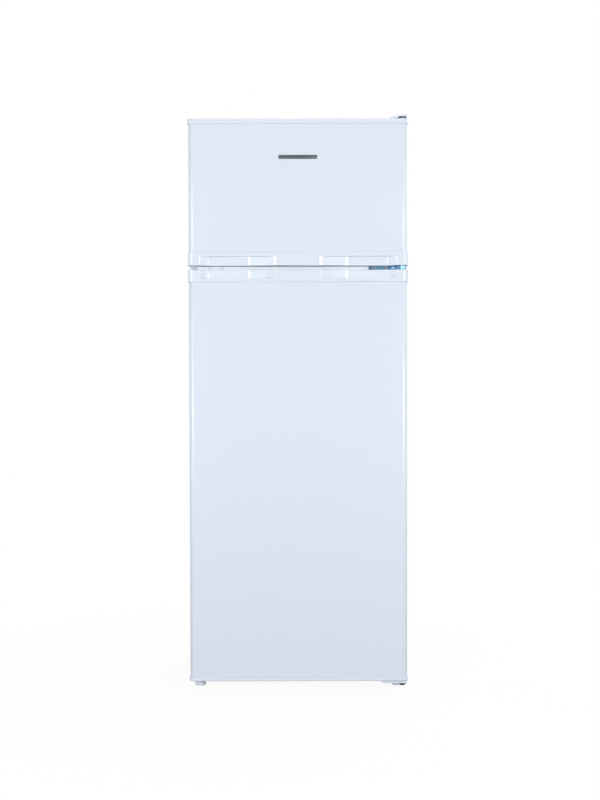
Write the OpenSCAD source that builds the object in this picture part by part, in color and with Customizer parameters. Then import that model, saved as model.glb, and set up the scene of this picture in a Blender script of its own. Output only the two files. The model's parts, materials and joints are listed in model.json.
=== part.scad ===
// Top freezer refrigerator, free standing, static cooling.
// Millimetres. +Z is up, the doors face -Y, and the hinges are on the +X side.
// The origin is on the floor, at the middle of the overall width and depth.

/* [Overall] */
// Width across the door trims
overall_w = 545; // [540:1:550]
// Depth from the door trims to the back of the condenser
overall_d = 555; // [550:5:580]
// Height of the top of the hinge cover
overall_h = 1430; // [1425:1:1435]

/* [Cabinet] */
// Thickness of the painted steel sheet
sheet = 0.8; // [0.6:0.1:1]
// Thickness of the thermoformed liners
liner_t = 1.5; // [1:0.1:2]
// Insulated wall on each side
side_wall = 43.5; // [40:0.5:45]
// Insulated wall over the freezer
top_wall = 50; // [45:1:55]
// Insulated wall behind the compartments
back_wall = 53; // [48:1:56]
// Insulated wall under and round the compressor bay
floor_wall = 50; // [45:1:55]
// Height of the divider between the compartments
divider_h = 52; // [50:1:54]
// Inside corner radius of the compartments
cavity_r = 18; // [10:1:22]
// Height of the underside of the cabinet
cabinet_bottom_z = 30; // [30:1:32]

/* [Doors] */
// Height of the underside of the fridge door
door_bottom_z = 23.5; // [23:0.5:24]
// Height of the fridge door
fridge_door_h = 1024; // [1020:1:1026]
// Height of the freezer door
freezer_door_h = 362; // [358:1:362]
// Gap between the doors
door_gap = 10; // [10:0.5:11]
// Thickness of a door, from its steel face to its liner
door_t = 47; // [45:1:48]
// How far the plastic trims stand proud of the steel
trim_proud = 1.5; // [1:0.1:2]
// Height of the freezer door's top cap
top_cap_h = 13; // [12:1:16]
// Height of the fridge door's bottom cap
bottom_cap_h = 9.5; // [9:0.5:12]
// Height of the freezer door's handle trim
upper_trim_h = 33.5; // [32:0.5:36]
// Height of the fridge door's handle trim
lower_trim_h = 31; // [30:0.5:34]
// Depth of the finger scoop in the handle trims
scoop_d = 13; // [10:1:14]
// Thickness of the magnetic gaskets
gasket_t = 10; // [9:0.5:11]

/* [Hinges and feet] */
// Radius of the hinge pins
pin_r = 4; // [3.5:0.1:4.5]
// Radial running clearance of a pin in its bush
pin_play = 0.08; // [0.05:0.01:0.1]
// Distance of the hinge axis from the side of the doors
pin_from_side = 13; // [12:0.5:14]
// Distance of the hinge axis behind the front of the trims
pin_from_front = 22; // [20:1:24]
// Radius of the levelling feet
foot_r = 14; // [12:0.5:15]

/* [Cooling system] */
// Radius of the condenser tube
tube_r = 2.4; // [2:0.1:3]
// Radius of the condenser wires
wire_r = 0.7; // [0.6:0.1:1]
// Height of one pass of the condenser to the next
pass_pitch = 46; // [40:1:50]
// Number of passes of the condenser
passes = 22; // [18:1:22]
// Distance between the condenser wires
wire_pitch = 12; // [10:1:16]
// Distance of the condenser's back from the back panel
condenser_d = 26; // [24:1:28]

/* [Hidden] */
$fn = 48;

// Finishes
WHITE_PAINT = [0.87, 0.91, 0.95];
WHITE_PLASTIC = [0.88, 0.92, 0.96];
LINER_WHITE = [0.93, 0.94, 0.95];
GALVANISED = [0.66, 0.68, 0.70];
ZINC = [0.72, 0.75, 0.78];
BLACK_PAINT = [0.06, 0.06, 0.07];
BLACK_PLASTIC = [0.09, 0.09, 0.10];
COPPER = [0.72, 0.43, 0.27];
FOAM = [0.90, 0.84, 0.62];
CLEAR_PLASTIC = [0.85, 0.92, 0.96, 0.45];
GLASS = [0.80, 0.92, 0.90, 0.35];
GREY_RUBBER = [0.80, 0.82, 0.84];
DARK_RUBBER = [0.12, 0.12, 0.13];
ALUMINIUM = [0.80, 0.81, 0.82];
BADGE_GREY = [0.45, 0.47, 0.50];

// Depths, from front to back
eps = 1;
seal_gap = 0.5;
trim_front_y = -overall_d / 2;
door_face_y = trim_front_y + trim_proud;
door_back_y = door_face_y + door_t;
cabinet_front_y = door_back_y + gasket_t + seal_gap;
back_y = overall_d / 2 - condenser_d;
cavity_back_y = back_y - back_wall;
foam_front_y = cabinet_front_y + liner_t;
pin_y = trim_front_y + pin_from_front;

// Widths
steel_hw = overall_w / 2 - 2;
trim_hw = overall_w / 2;
foam_hw = steel_hw - sheet;
cavity_hw = steel_hw - side_wall;
pin_x = overall_w / 2 - pin_from_side;
flange_w = 20;

// Heights
fridge_door_top_z = door_bottom_z + fridge_door_h;
freezer_door_bottom_z = fridge_door_top_z + door_gap;
door_top_z = freezer_door_bottom_z + freezer_door_h;
cabinet_top_z = door_top_z - 2.5;
divider_mid_z = fridge_door_top_z + door_gap / 2;
freezer_floor_z = divider_mid_z + divider_h / 2;
freezer_ceiling_z = cabinet_top_z - top_wall;
fridge_floor_z = cabinet_bottom_z + floor_wall;
fridge_ceiling_z = divider_mid_z - divider_h / 2;
rail_hh = 18;
rail_nose_hh = 3.6;
rail_nose_d = 20;

// Compressor bay, and the step that it makes in the fridge compartment
bay_front_y = 92;
bay_top_z = 228;
bay_chamfer = 58;
step_wall = 45;
step_front_y = bay_front_y - step_wall;
step_top_z = bay_top_z + step_wall;

// Door liners: the raised rim that enters the compartment
rim_gap = 13;
rim_w = 22;
rim_d = 25;
rim_hw = cavity_hw - rim_gap;
rim_r = 14;
rack_hw = rim_hw - rim_w - 1;
rack_d = 104;
rack_t = 2.5;

// Shelf levels in the fridge compartment
crisper_cover_z = 275;
shelf_levels = [440, 605, 770];
shelf_front_y = -108;
shelf_back_y = 190;
pane_t = 4;
ledge_w = 8;
ledge_h = 6;

// Rack floors
freezer_rack_levels = [1120, 1236];
fridge_rack_levels = [470, 665, 840];
bottle_rack_z = 122;

// Middle of the badge on the freezer door
badge_z = 1324.5;

// Hinge plates
top_plate_t = 3;
top_arm_z = door_top_z + 1.3;
middle_plate_t = 4;
middle_flange_x = 178;
middle_screw_xs = [188.7, 220];
middle_flange_hh = 11;
bottom_arm_z = 18;
foot_x = 250;
foot_y = -207;

// Control housing on the fridge compartment's right wall
control_x = 200;
control_y = [-190, 0];
control_z = [925, 1005];
knob_y = -95;
knob_z = 965;
knob_r = 17;
shaft_r = 3;
plunger_x = 212;
plunger_r = 4;
plunger_z = 965;
lens_y = [-58, -10];
lens_z = [940, 990];

// Compressor and what stands round it
comp_x = 60;
comp_y = 171;
comp_base_z = 32;
comp_top_z = 184;
comp_r = 58;
comp_half_gap = 22;
base_plate_z = 16;
plate_t = 2;
drain_x = 60;
drain_y = 182;

// Condenser
tube_y = overall_d / 2 - 2 * wire_r - tube_r - 0.03;
tube_hw = 214;
first_pass_z = 290;
last_pass_z = first_pass_z + (passes - 1) * pass_pitch;

// ---------- helpers ----------

// Points along an arc about c, from angle a0 to a1
function arc(c, r, a0, a1, n = 6) =
    [for (i = [0:n]) let (a = a0 + (a1 - a0) * i / n) [c[0] + r * cos(a), c[1] + r * sin(a)]];

// Outline of a rectangle with rounded corners, given its lowest and highest corners
function rounded_rect(lo, hi, r, n = 6) = concat(
    arc([hi[0] - r, hi[1] - r], r, 0, 90, n),
    arc([lo[0] + r, hi[1] - r], r, 90, 180, n),
    arc([lo[0] + r, lo[1] + r], r, 180, 270, n),
    arc([hi[0] - r, lo[1] + r], r, 270, 360, n));

// A box from its lowest to its highest corner
module block(lo, hi) translate(lo) cube(hi - lo);

// Extrudes an outline drawn in X and Z from y0 to y1
module along_y(y0, y1) translate([0, y1, 0]) rotate([90, 0, 0]) linear_extrude(y1 - y0) children();

// Extrudes an outline drawn in Y and Z from x0 to x1
module along_x(x0, x1) translate([x0, 0, 0]) rotate([90, 0, 90]) linear_extrude(x1 - x0) children();

// Extrudes an outline drawn in X and Y from z0 to z1
module along_z(z0, z1) translate([0, 0, z0]) linear_extrude(z1 - z0) children();

// A round bar between two points
module rod(p, q, r) {
    d = q - p;
    length = norm(d);
    translate(p) rotate([0, acos(d[2] / length), atan2(d[1], d[0])]) cylinder(h = length, r = r);
}

// A unit vector from p to q
function towards(p, q) = (q - p) / norm(q - p);

// A bent tube along points whose segments run along the axes, with bends of radius bend
module pipe(points, r, bend) {
    last = len(points) - 1;
    for (i = [0:last - 1]) {
        u = towards(points[i], points[i + 1]);
        rod(points[i] + (i == 0 ? 0 : bend) * u, points[i + 1] - (i == last - 1 ? 0 : bend) * u, r);
    }
    for (i = [1:last - 1]) {
        u = towards(points[i - 1], points[i]);
        v = towards(points[i], points[i + 1]);
        w = cross(-v, u);
        c = points[i] + bend * (v - u);
        multmatrix([[-v[0], u[0], w[0], c[0]], [-v[1], u[1], w[1], c[1]],
                    [-v[2], u[2], w[2], c[2]], [0, 0, 0, 1]])
            rotate_extrude(angle = 90) translate([bend, 0]) circle(r = r);
    }
}

// A screw whose head's seat is at the origin, with its head towards +Z
module flange_screw(head_r = 6, head_h = 3.5, shank_r = 2.2, shank_l = 3) {
    cylinder(h = 1, r = head_r);
    cylinder(h = head_h, r = head_r * 0.72, $fn = 6);
    translate([0, 0, -shank_l]) cylinder(h = shank_l + 0.5, r = shank_r);
}

// ---------- cabinet ----------

// Outer radius of the fold at the cabinet's front corners
fold_r = 3;

// Plan of a side panel: the side, a rounded front corner and the front flange
module side_panel_plan() {
    fold_centre = [steel_hw - fold_r, cabinet_front_y + fold_r];
    polygon(concat(
        [[steel_hw, back_y - sheet]],
        arc(fold_centre, fold_r, 0, -90),
        [[steel_hw - flange_w, cabinet_front_y], [steel_hw - flange_w, cabinet_front_y + sheet]],
        arc(fold_centre, fold_r - sheet, -90, 0),
        [[steel_hw - sheet, back_y - sheet]]));
}

module right_side_panel() {
    color(WHITE_PAINT) along_z(cabinet_bottom_z, cabinet_top_z - sheet) side_panel_plan();
}

module left_side_panel() {
    mirror([1, 0, 0]) right_side_panel();
}

// Plan of what fits between the side panels from y0 to y1, with its front corners cut to clear theirs
module inner_plan(y0, y1) {
    cut = fold_r + sheet - (y0 - cabinet_front_y);
    fold_y = cabinet_front_y + fold_r;
    polygon([[foam_hw, y1], [foam_hw, fold_y], [steel_hw - cut, y0],
             [-steel_hw + cut, y0], [-foam_hw, fold_y], [-foam_hw, y1]]);
}

// The top sheet, with its front edge folded down
module top_panel() {
    color(WHITE_PAINT) {
        block([-steel_hw, cabinet_front_y, cabinet_top_z - sheet], [steel_hw, back_y, cabinet_top_z]);
        block([-steel_hw + flange_w, cabinet_front_y, cabinet_top_z - flange_w],
              [steel_hw - flange_w, cabinet_front_y + sheet, cabinet_top_z - sheet / 2]);
    }
}

// The bottom sheet, with its front edge folded up and a hole over each levelling foot
module bottom_panel() {
    color(GALVANISED) difference() {
        union() {
            along_z(cabinet_bottom_z, cabinet_bottom_z + sheet)
                inner_plan(cabinet_front_y + sheet, bay_front_y - sheet);
            block([-steel_hw + flange_w, cabinet_front_y, cabinet_bottom_z],
                  [steel_hw - flange_w, cabinet_front_y + sheet, cabinet_bottom_z + flange_w]);
        }
        foot_wells();
    }
}

// The room that the studs of the levelling feet need over the underside
module foot_wells() {
    for (side = [-1, 1])
        translate([side * foot_x, foot_y, cabinet_bottom_z - eps]) cylinder(h = 30, r = 9);
}

// The back sheet, with pressed ribs that stiffen it
module back_panel() {
    rib_hw = 5;
    rib_d = 2.5;
    color(GALVANISED) {
        block([-steel_hw, back_y - sheet, bay_top_z], [steel_hw, back_y, cabinet_top_z - sheet]);
        for (x = [-235, -80, 80, 235])
            along_z(first_pass_z - 25, cabinet_top_z - 60)
                polygon([[x - rib_hw, back_y - sheet / 2], [x + rib_hw, back_y - sheet / 2],
                         [x + rib_hw - rib_d, back_y + rib_d], [x - rib_hw + rib_d, back_y + rib_d]]);
    }
}

// Outline of the bay in Y and Z, let out by g on the side of the insulation
module bay_outline(g = 0) {
    polygon([[bay_front_y - g, 0], [bay_front_y - g, bay_top_z - bay_chamfer + g / 2],
             [bay_front_y + bay_chamfer - g / 2, bay_top_z + g], [back_y + 50, bay_top_z + g],
             [back_y + 50, 0]]);
}

// The sheet over the compressor bay: a riser, a slope and a roof
module compressor_step_panel() {
    color(GALVANISED) difference() {
        intersection() {
            along_x(-foam_hw, foam_hw) bay_outline(0);
            block([-foam_hw, 0, cabinet_bottom_z], [foam_hw, back_y - sheet, bay_top_z]);
        }
        translate([0, sheet, -sheet]) along_x(-foam_hw - eps, foam_hw + eps) bay_outline(0);
        drain_hole(8.2);
    }
}

// The hole of the drain, through the step
module drain_hole(r) {
    translate([drain_x, drain_y, bay_top_z - 10]) cylinder(h = step_wall + 20, r = r);
}

// The freezer compartment's space, let out by g all round and by g_back behind
module freezer_space(g = 0, g_back = 0) {
    along_y(cabinet_front_y - eps, cavity_back_y + g_back)
        polygon(rounded_rect([-cavity_hw - g, freezer_floor_z - g],
                             [cavity_hw + g, freezer_ceiling_z + g], cavity_r + g));
}

// The fridge compartment's space, with the step over the compressor bay left out
module fridge_space(g = 0, g_back = 0) {
    difference() {
        along_y(cabinet_front_y - eps, cavity_back_y + g_back)
            polygon(rounded_rect([-cavity_hw - g, fridge_floor_z - g],
                                 [cavity_hw + g, fridge_ceiling_z + g], cavity_r + g));
        along_x(-cavity_hw - 20, cavity_hw + 20) bay_outline(step_wall - g);
    }
}

// One shot of rigid foam fills the cabinet round both liners
module insulation_foam() {
    plate_room = 3;
    color(FOAM) difference() {
        along_z(cabinet_bottom_z + sheet, cabinet_top_z - sheet)
            inner_plan(foam_front_y, back_y - sheet);
        freezer_space(liner_t, liner_t + plate_room);
        fridge_space(liner_t, liner_t + plate_room);
        along_x(-foam_hw - eps, foam_hw + eps) bay_outline(0);
        foot_wells();
        drain_hole(8.2);
    }
}

module freezer_liner() {
    color(LINER_WHITE) difference() {
        union() {
            freezer_space(liner_t, liner_t);
            block([-steel_hw + flange_w, cabinet_front_y, divider_mid_z + rail_hh],
                  [steel_hw - flange_w, foam_front_y, cabinet_top_z - flange_w]);
        }
        freezer_space();
        block([-steel_hw, cabinet_front_y - 2 * eps, 0], [steel_hw, cabinet_front_y, cabinet_top_z]);
    }
}

// The fridge liner, with ledges for the shelves formed in its side walls
module fridge_liner() {
    color(LINER_WHITE) {
        difference() {
            union() {
                fridge_space(liner_t, liner_t);
                block([-steel_hw + flange_w, cabinet_front_y, cabinet_bottom_z + flange_w],
                      [steel_hw - flange_w, foam_front_y, divider_mid_z - rail_hh]);
            }
            fridge_space();
            block([-steel_hw, cabinet_front_y - 2 * eps, 0],
                  [steel_hw, cabinet_front_y, cabinet_top_z]);
            drain_hole(8.2);
        }
        for (z = shelf_levels) shelf_ledges(z, shelf_back_y);
        shelf_ledges(crisper_cover_z, step_front_y - 6);
    }
}

// A ledge on each side wall, whose top is at z
module shelf_ledges(z, y1) {
    for (side = [-1, 1])
        along_y(shelf_front_y + 20, y1)
            polygon([for (p = [[cavity_hw + 0.5, z], [cavity_hw - ledge_w, z],
                               [cavity_hw - ledge_w, z - ledge_h / 2], [cavity_hw + 0.5, z - 2 * ledge_h]])
                     [side * p[0], p[1]]]);
}

// The strip across the front of the divider, with a nose that is seen between the doors
module centre_rail() {
    color(WHITE_PLASTIC) {
        block([-steel_hw + flange_w, cabinet_front_y, divider_mid_z - rail_hh],
              [steel_hw - flange_w, foam_front_y, divider_mid_z + rail_hh]);
        difference() {
            block([-steel_hw + flange_w, cabinet_front_y - rail_nose_d, divider_mid_z - rail_nose_hh],
                  [middle_flange_x - 3, cabinet_front_y + eps / 2, divider_mid_z + rail_nose_hh]);
            for (x = middle_screw_xs)
                translate([-x, cabinet_front_y - rail_nose_d + 1.5, divider_mid_z])
                    rotate([90, 0, 0]) cylinder(h = 5, r = 2.6);
        }
    }
}

// A roll-bonded plate behind a compartment, with the tube formed on its back
module roll_bond_plate(x1, z0, z1) {
    plate_y = cavity_back_y + liner_t;
    plate = 1.2;
    ridge = 1.2;
    pitch = 34;
    count = floor((z1 - z0 - 20) / pitch);
    block([-x1, plate_y, z0], [x1, plate_y + plate, z1]);
    for (i = [0:count]) {
        z = z0 + 10 + i * pitch;
        block([-x1 + 12, plate_y + plate / 2, z - 4], [x1 - 12, plate_y + plate + ridge, z + 4]);
        if (i < count) {
            side = i % 2 == 0 ? 1 : -1;
            x = side * (x1 - 16);
            block([x - 4, plate_y + plate / 2, z], [x + 4, plate_y + plate + ridge, z + pitch]);
        }
    }
}

module evaporator_plates() {
    color(ALUMINIUM) {
        roll_bond_plate(195, freezer_floor_z + 20, freezer_ceiling_z - 20);
        roll_bond_plate(185, 620, 990);
    }
}

// ---------- what stands in the compartments ----------

// A welded wire shelf: a frame of thick wire, and thinner wires from front to back
module freezer_shelf() {
    z = 1218;
    x1 = cavity_hw - 5;
    y0 = -112;
    y1 = cavity_back_y - 6;
    count = 14;
    color(WHITE_PLASTIC) {
        for (y = [y0, y1]) rod([-x1, y, z], [x1, y, z], 2.5);
        for (x = [-x1, x1]) rod([x, y0, z], [x, y1, z], 2.5);
        for (x = [-x1, x1], y = [y0, y1]) translate([x, y, z]) sphere(r = 2.5);
        for (i = [1:count - 1]) {
            x = -x1 + 2 * x1 * i / count;
            rod([x, y0, z], [x, y1, z], 1.5);
        }
        for (side = [-1, 1], y = [y0 + 40, y1 - 40])
            rod([side * x1, y, z], [side * (cavity_hw + 0.0), y, z], 2);
    }
}

// The level of each glass pane, with the crisper's cover first
pane_levels = concat([crisper_cover_z], shelf_levels);
pane_hw = cavity_hw - 3;

module glass_shelf_panes() {
    color(GLASS) for (z = pane_levels)
        block([-pane_hw, shelf_front_y + 8, z], [pane_hw, shelf_back_y - 7, z + pane_t]);
}

// A channel along each pane's front edge, and an upstand behind it
module glass_shelf_trims() {
    color(WHITE_PLASTIC) for (z = pane_levels) {
        difference() {
            along_x(-pane_hw, pane_hw) polygon(rounded_rect([shelf_front_y, z - 4],
                                                            [shelf_front_y + 18, z + 8], 3, 4));
            block([-pane_hw - eps, shelf_front_y + 8, z], [pane_hw + eps, shelf_front_y + 20, z + pane_t]);
        }
        block([-pane_hw, shelf_back_y - 7, z], [pane_hw, shelf_back_y - 4, z + 22]);
    }
}

// An open bin, given its lowest and highest corners. Its walls are t thick.
module bin(lo, hi, r, t) {
    difference() {
        along_z(lo[2], hi[2]) polygon(rounded_rect([lo[0], lo[1]], [hi[0], hi[1]], r));
        along_z(lo[2] + t, hi[2] + eps)
            polygon(rounded_rect([lo[0] + t, lo[1] + t], [hi[0] - t, hi[1] - t], r - t));
    }
}

// The salad drawer: a bin with a grip along its front
crisper_lo = [-210, -104, fridge_floor_z + 1];
crisper_hi = [210, step_front_y - 8, 262];

module crisper_drawer() {
    color(CLEAR_PLASTIC) {
        bin(crisper_lo, crisper_hi, 12, 3);
        along_x(-120, 120) polygon([[crisper_lo[1] + 1, 240], [crisper_lo[1] + 1, 246],
                                    [crisper_lo[1] - 7, 246], [crisper_lo[1] - 7, 236],
                                    [crisper_lo[1] - 4, 236]]);
    }
}

// ---------- controls ----------

// A hood on the side wall, open towards the wall
module control_housing() {
    wall = 2;
    color(WHITE_PLASTIC) difference() {
        along_x(control_x, cavity_hw)
            polygon(rounded_rect([control_y[0], control_z[0]], [control_y[1], control_z[1]], 8));
        along_x(control_x + wall, cavity_hw + eps)
            polygon(rounded_rect([control_y[0] + wall, control_z[0] + wall],
                                 [control_y[1] - wall, control_z[1] - wall], 6));
        translate([control_x - eps, knob_y, knob_z]) rotate([0, 90, 0]) cylinder(h = 5, r = 6);
        along_x(control_x - eps, control_x + 5)
            polygon(rounded_rect([lens_y[0], lens_z[0]], [lens_y[1], lens_z[1]], 5));
        translate([plunger_x, control_y[0] + 5, plunger_z]) rotate([90, 0, 0])
            cylinder(h = 10, r = plunger_r + 0.1);
    }
}

// The switch body behind the knob, with its shaft
module thermostat_body() {
    color(ALUMINIUM) {
        block([control_x + 9, knob_y - 20, knob_z - 18], [cavity_hw - 1, knob_y + 20, knob_z + 18]);
        rod([control_x - 7, knob_y, knob_z], [control_x + 10, knob_y, knob_z], shaft_r);
    }
}

module thermostat_knob() {
    front_x = control_x - 13;
    color(WHITE_PLASTIC) difference() {
        union() {
            rod([front_x + 3, knob_y, knob_z], [control_x - 1, knob_y, knob_z], knob_r);
            rod([front_x + 1, knob_y, knob_z], [front_x + 4, knob_y, knob_z], knob_r - 2);
            block([front_x - 6, knob_y - 3, knob_z - knob_r + 3],
                  [front_x + 4, knob_y + 3, knob_z + knob_r - 3]);
        }
        rod([control_x - 8, knob_y, knob_z], [control_x, knob_y, knob_z], shaft_r + 0.06);
    }
}

// A board with three light emitting diodes
module lamp_module() {
    y_mid = (lens_y[0] + lens_y[1]) / 2;
    color(LINER_WHITE) {
        block([control_x + 12, lens_y[0] + 4, lens_z[0] + 4],
              [control_x + 14, lens_y[1] - 4, lens_z[1] - 4]);
        for (i = [-1:1])
            block([control_x + 10, y_mid - 3, 965 + 14 * i - 3],
                  [control_x + 12.5, y_mid + 3, 965 + 14 * i + 3]);
    }
}

module lamp_lens() {
    slack = 0.3;
    color(CLEAR_PLASTIC) along_x(control_x - 2, control_x + 2)
        polygon(rounded_rect([lens_y[0] + slack, lens_z[0] + slack],
                             [lens_y[1] - slack, lens_z[1] - slack], 5));
}

// The door's rim pushes this in
module door_switch_plunger() {
    rim_y = door_back_y + rim_d;
    color(WHITE_PLASTIC) {
        rod([plunger_x, rim_y + 0.4, plunger_z], [plunger_x, rim_y + 26, plunger_z], plunger_r);
        rod([plunger_x, control_y[0] + 9, plunger_z], [plunger_x, control_y[0] + 11, plunger_z],
            plunger_r + 2);
    }
}

// ---------- hinges and feet ----------

top_screw_ys = [-203, -182, -161];

// A cranked strip on the cabinet's top, with its pin pointing down into the door
module top_hinge_bracket() {
    x0 = 243;
    x1 = 266;
    riser_y = cabinet_front_y + 1;
    color(ZINC) difference() {
        union() {
            block([x0, riser_y, cabinet_top_z], [x1, -148, cabinet_top_z + top_plate_t]);
            block([x0, riser_y, cabinet_top_z], [x1, riser_y + 3, top_arm_z + top_plate_t]);
            block([x0, pin_y, top_arm_z], [x1, riser_y + 1, top_arm_z + top_plate_t]);
            translate([pin_x, pin_y, top_arm_z]) cylinder(h = top_plate_t, r = 8.2);
            translate([pin_x, pin_y, door_top_z - top_cap_h + 1])
                cylinder(h = top_cap_h + 1, r = pin_r);
        }
        for (y = top_screw_ys)
            translate([(x0 + x1) / 2, y, cabinet_top_z - eps]) cylinder(h = 6, r = 2.5);
    }
}

// Outline of the hinge cover in X and Z: a ramp on the inner side, a flat top and a rounded edge
function cover_outline(g) = [[220 + 2.2 * g, cabinet_top_z], [248 + 0.7 * g, overall_h - g],
    [267 - g / 3, overall_h - g], [270 - g, overall_h - 2.5 - g / 3], [270 - g, cabinet_top_z]];

module top_hinge_cover() {
    wall = 2;
    y0 = trim_front_y + 5;
    y1 = -142;
    color(WHITE_PLASTIC) difference() {
        along_y(y0, y1) polygon(cover_outline(0));
        translate([0, 0, -eps / 10]) along_y(y0 + wall, y1 - wall) polygon(cover_outline(wall));
        block([210, y0 - eps, cabinet_top_z - eps], [280, cabinet_front_y, door_top_z + 1]);
        block([249, y0 - eps, cabinet_top_z - eps], [268, y0 + wall + eps, door_top_z + 5]);
    }
}

// Plan of the middle hinge's arm, rounded about the pin
module middle_arm_plan() {
    r = 11;
    polygon(concat([[231, cabinet_front_y - 1]], [[pin_x - r - 8, pin_y]],
                   arc([pin_x, pin_y], r, 180, 360, 12), [[pin_x + r, cabinet_front_y - 1]]));
}

// A flange screwed to the divider, and an arm between the doors with a pin up and a pin down
module middle_hinge_bracket() {
    plate_z = divider_mid_z - middle_plate_t / 2;
    color(ZINC) difference() {
        union() {
            block([middle_flange_x, cabinet_front_y - 2.5, divider_mid_z - middle_flange_hh],
                  [pin_x + 11, cabinet_front_y, divider_mid_z + middle_flange_hh]);
            along_z(plate_z, plate_z + middle_plate_t) middle_arm_plan();
            translate([pin_x, pin_y, fridge_door_top_z - 11])
                cylinder(h = door_gap + 22, r = pin_r);
        }
        for (x = middle_screw_xs)
            translate([x, cabinet_front_y + eps, divider_mid_z]) rotate([90, 0, 0])
                cylinder(h = 5, r = 2.5);
    }
}

// The stud's hole in a bracket
module stud_hole(x) {
    translate([x, foot_y, 0]) cylinder(h = 60, r = 5.06);
}

bracket_t = 3;
bottom_screws = [[222, -150], [256, -150], [239, -172]];

// A painted plate under the cabinet, cranked down behind the door. Its pin points up, with its head below.
module bottom_hinge_bracket() {
    crank_y = door_back_y + 3;
    z1 = cabinet_bottom_z;
    color(WHITE_PAINT) difference() {
        union() {
            block([207, crank_y, z1 - bracket_t], [270, -130, z1]);
            block([207, crank_y, bottom_arm_z], [270, crank_y + bracket_t, z1]);
            block([207, pin_y - 11, bottom_arm_z], [270, crank_y + 1, bottom_arm_z + bracket_t]);
            block([207, pin_y - 12.5, bottom_arm_z - 2], [270, pin_y - 10, bottom_arm_z + bracket_t + 1]);
            translate([pin_x, pin_y, bottom_arm_z]) cylinder(h = 14.5, r = pin_r);
            translate([pin_x, pin_y, bottom_arm_z - 5]) cylinder(h = 5.5, r = 9.5, $fn = 6);
            translate([pin_x, pin_y, bottom_arm_z - 8]) cylinder(h = 4, r = 5);
        }
        stud_hole(foot_x);
        for (p = bottom_screws) translate([p[0], p[1], 0]) cylinder(h = 60, r = 2.5);
    }
}

// The plate that carries the other levelling foot
module left_foot_bracket() {
    color(ZINC) difference() {
        block([-270, cabinet_front_y + 1, cabinet_bottom_z - bracket_t], [-207, -130, cabinet_bottom_z]);
        stud_hole(-foot_x);
        for (p = bottom_screws) translate([-p[0], p[1], 0]) cylinder(h = 60, r = 2.5);
    }
}

module hinge_screws() {
    color(ZINC) {
        for (y = top_screw_ys)
            translate([254.5, y, cabinet_top_z + top_plate_t]) flange_screw();
        for (x = middle_screw_xs)
            translate([x, cabinet_front_y - 2.5, divider_mid_z]) rotate([90, 0, 0])
                flange_screw(5, 3, 2.2, 2.5);
        for (side = [-1, 1], p = bottom_screws)
            translate([side * p[0], p[1], cabinet_bottom_z - bracket_t]) rotate([180, 0, 0])
                flange_screw();
    }
}

// Plugs in the holes that are left for hinges on the other side
module hinge_hole_plugs() {
    color(WHITE_PLASTIC) {
        for (x = middle_screw_xs)
            translate([-x, cabinet_front_y - rail_nose_d, divider_mid_z]) rotate([90, 0, 0]) {
                cylinder(h = 0.8, r = 3.2);
                cylinder(h = 1.6, r = 2.4);
            }
        for (y = top_screw_ys)
            translate([-254.5, y, cabinet_top_z]) {
                cylinder(h = 1.2, r = 5.5);
                cylinder(h = 2, r = 4);
            }
    }
}

// Outline of a grip with teeth all round
function toothed(r0, r1, teeth) =
    [for (i = [0:4 * teeth - 1]) let (a = 360 * (i + 0.5) / (4 * teeth), r = i % 4 < 2 ? r1 : r0)
     [r * cos(a), r * sin(a)]];

// A foot that screws up and down on its stud
module levelling_foot(x) {
    shoulder_z = cabinet_bottom_z - bracket_t - 0.3;
    color(WHITE_PLASTIC) translate([x, foot_y, 0]) {
        cylinder(h = 4, r = foot_r);
        translate([0, 0, 3]) linear_extrude(shoulder_z - 3)
            polygon(toothed(foot_r - 1.4, foot_r - 0.4, 22));
        cylinder(h = 52, r = 5);
    }
}

module left_levelling_foot() {
    levelling_foot(-foot_x);
}

module right_levelling_foot() {
    levelling_foot(foot_x);
}

// ---------- compressor bay ----------

// The floor of the bay, with its edges turned up
module compressor_base_plate() {
    z0 = base_plate_z;
    y0 = bay_front_y + 2;
    y1 = back_y - 2;
    color(GALVANISED) {
        block([-foam_hw + 0.3, y0, z0], [foam_hw - 0.3, y1, z0 + plate_t]);
        block([-foam_hw + 0.3, y0, z0], [foam_hw - 0.3, y0 + plate_t, cabinet_bottom_z + 20]);
        for (side = [-1, 1], x = [side * (foam_hw - 0.3 - plate_t / 2)])
            block([x - plate_t / 2, y0, z0], [x + plate_t / 2, y1, cabinet_bottom_z + 30]);
        block([-foam_hw + 0.3, y1 - plate_t, z0], [foam_hw - 0.3, y1, z0 + 10]);
        difference() {
            block([gland_x - 20, y1 - plate_t, z0], [gland_x + 20, y1, z0 + 50]);
            translate([gland_x, y1 - 5, gland_z]) rotate([-90, 0, 0]) cylinder(h = 10, r = 6.1);
        }
    }
}

rear_foot_xs = [-235, 235];

module rear_feet() {
    color(BLACK_PLASTIC) for (x = rear_foot_xs)
        translate([x, 222, 0]) rotate_extrude()
            polygon([[0, 0], [13, 0], [15, 2], [15, base_plate_z], [0, base_plate_z]]);
}

mount_points = [for (x = [comp_x - 72, comp_x + 72], y = [comp_y - 46, comp_y + 46]) [x, y]];

// A rubber bush under each leg of the compressor, with its bolt
module compressor_mounts() {
    z0 = base_plate_z + plate_t;
    for (p = mount_points) translate([p[0], p[1], z0]) {
        color(DARK_RUBBER) rotate_extrude()
            polygon([[0, 0], [9, 0], [9, 4], [7, 6], [9, 8], [9, comp_base_z - z0], [0, comp_base_z - z0]]);
        color(ZINC) translate([0, 0, comp_base_z - z0 - 1]) cylinder(h = 8, r = 3);
        color(ZINC) translate([0, 0, comp_base_z - z0 + 2.5]) cylinder(h = 5, r = 6, $fn = 6);
    }
}

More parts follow.
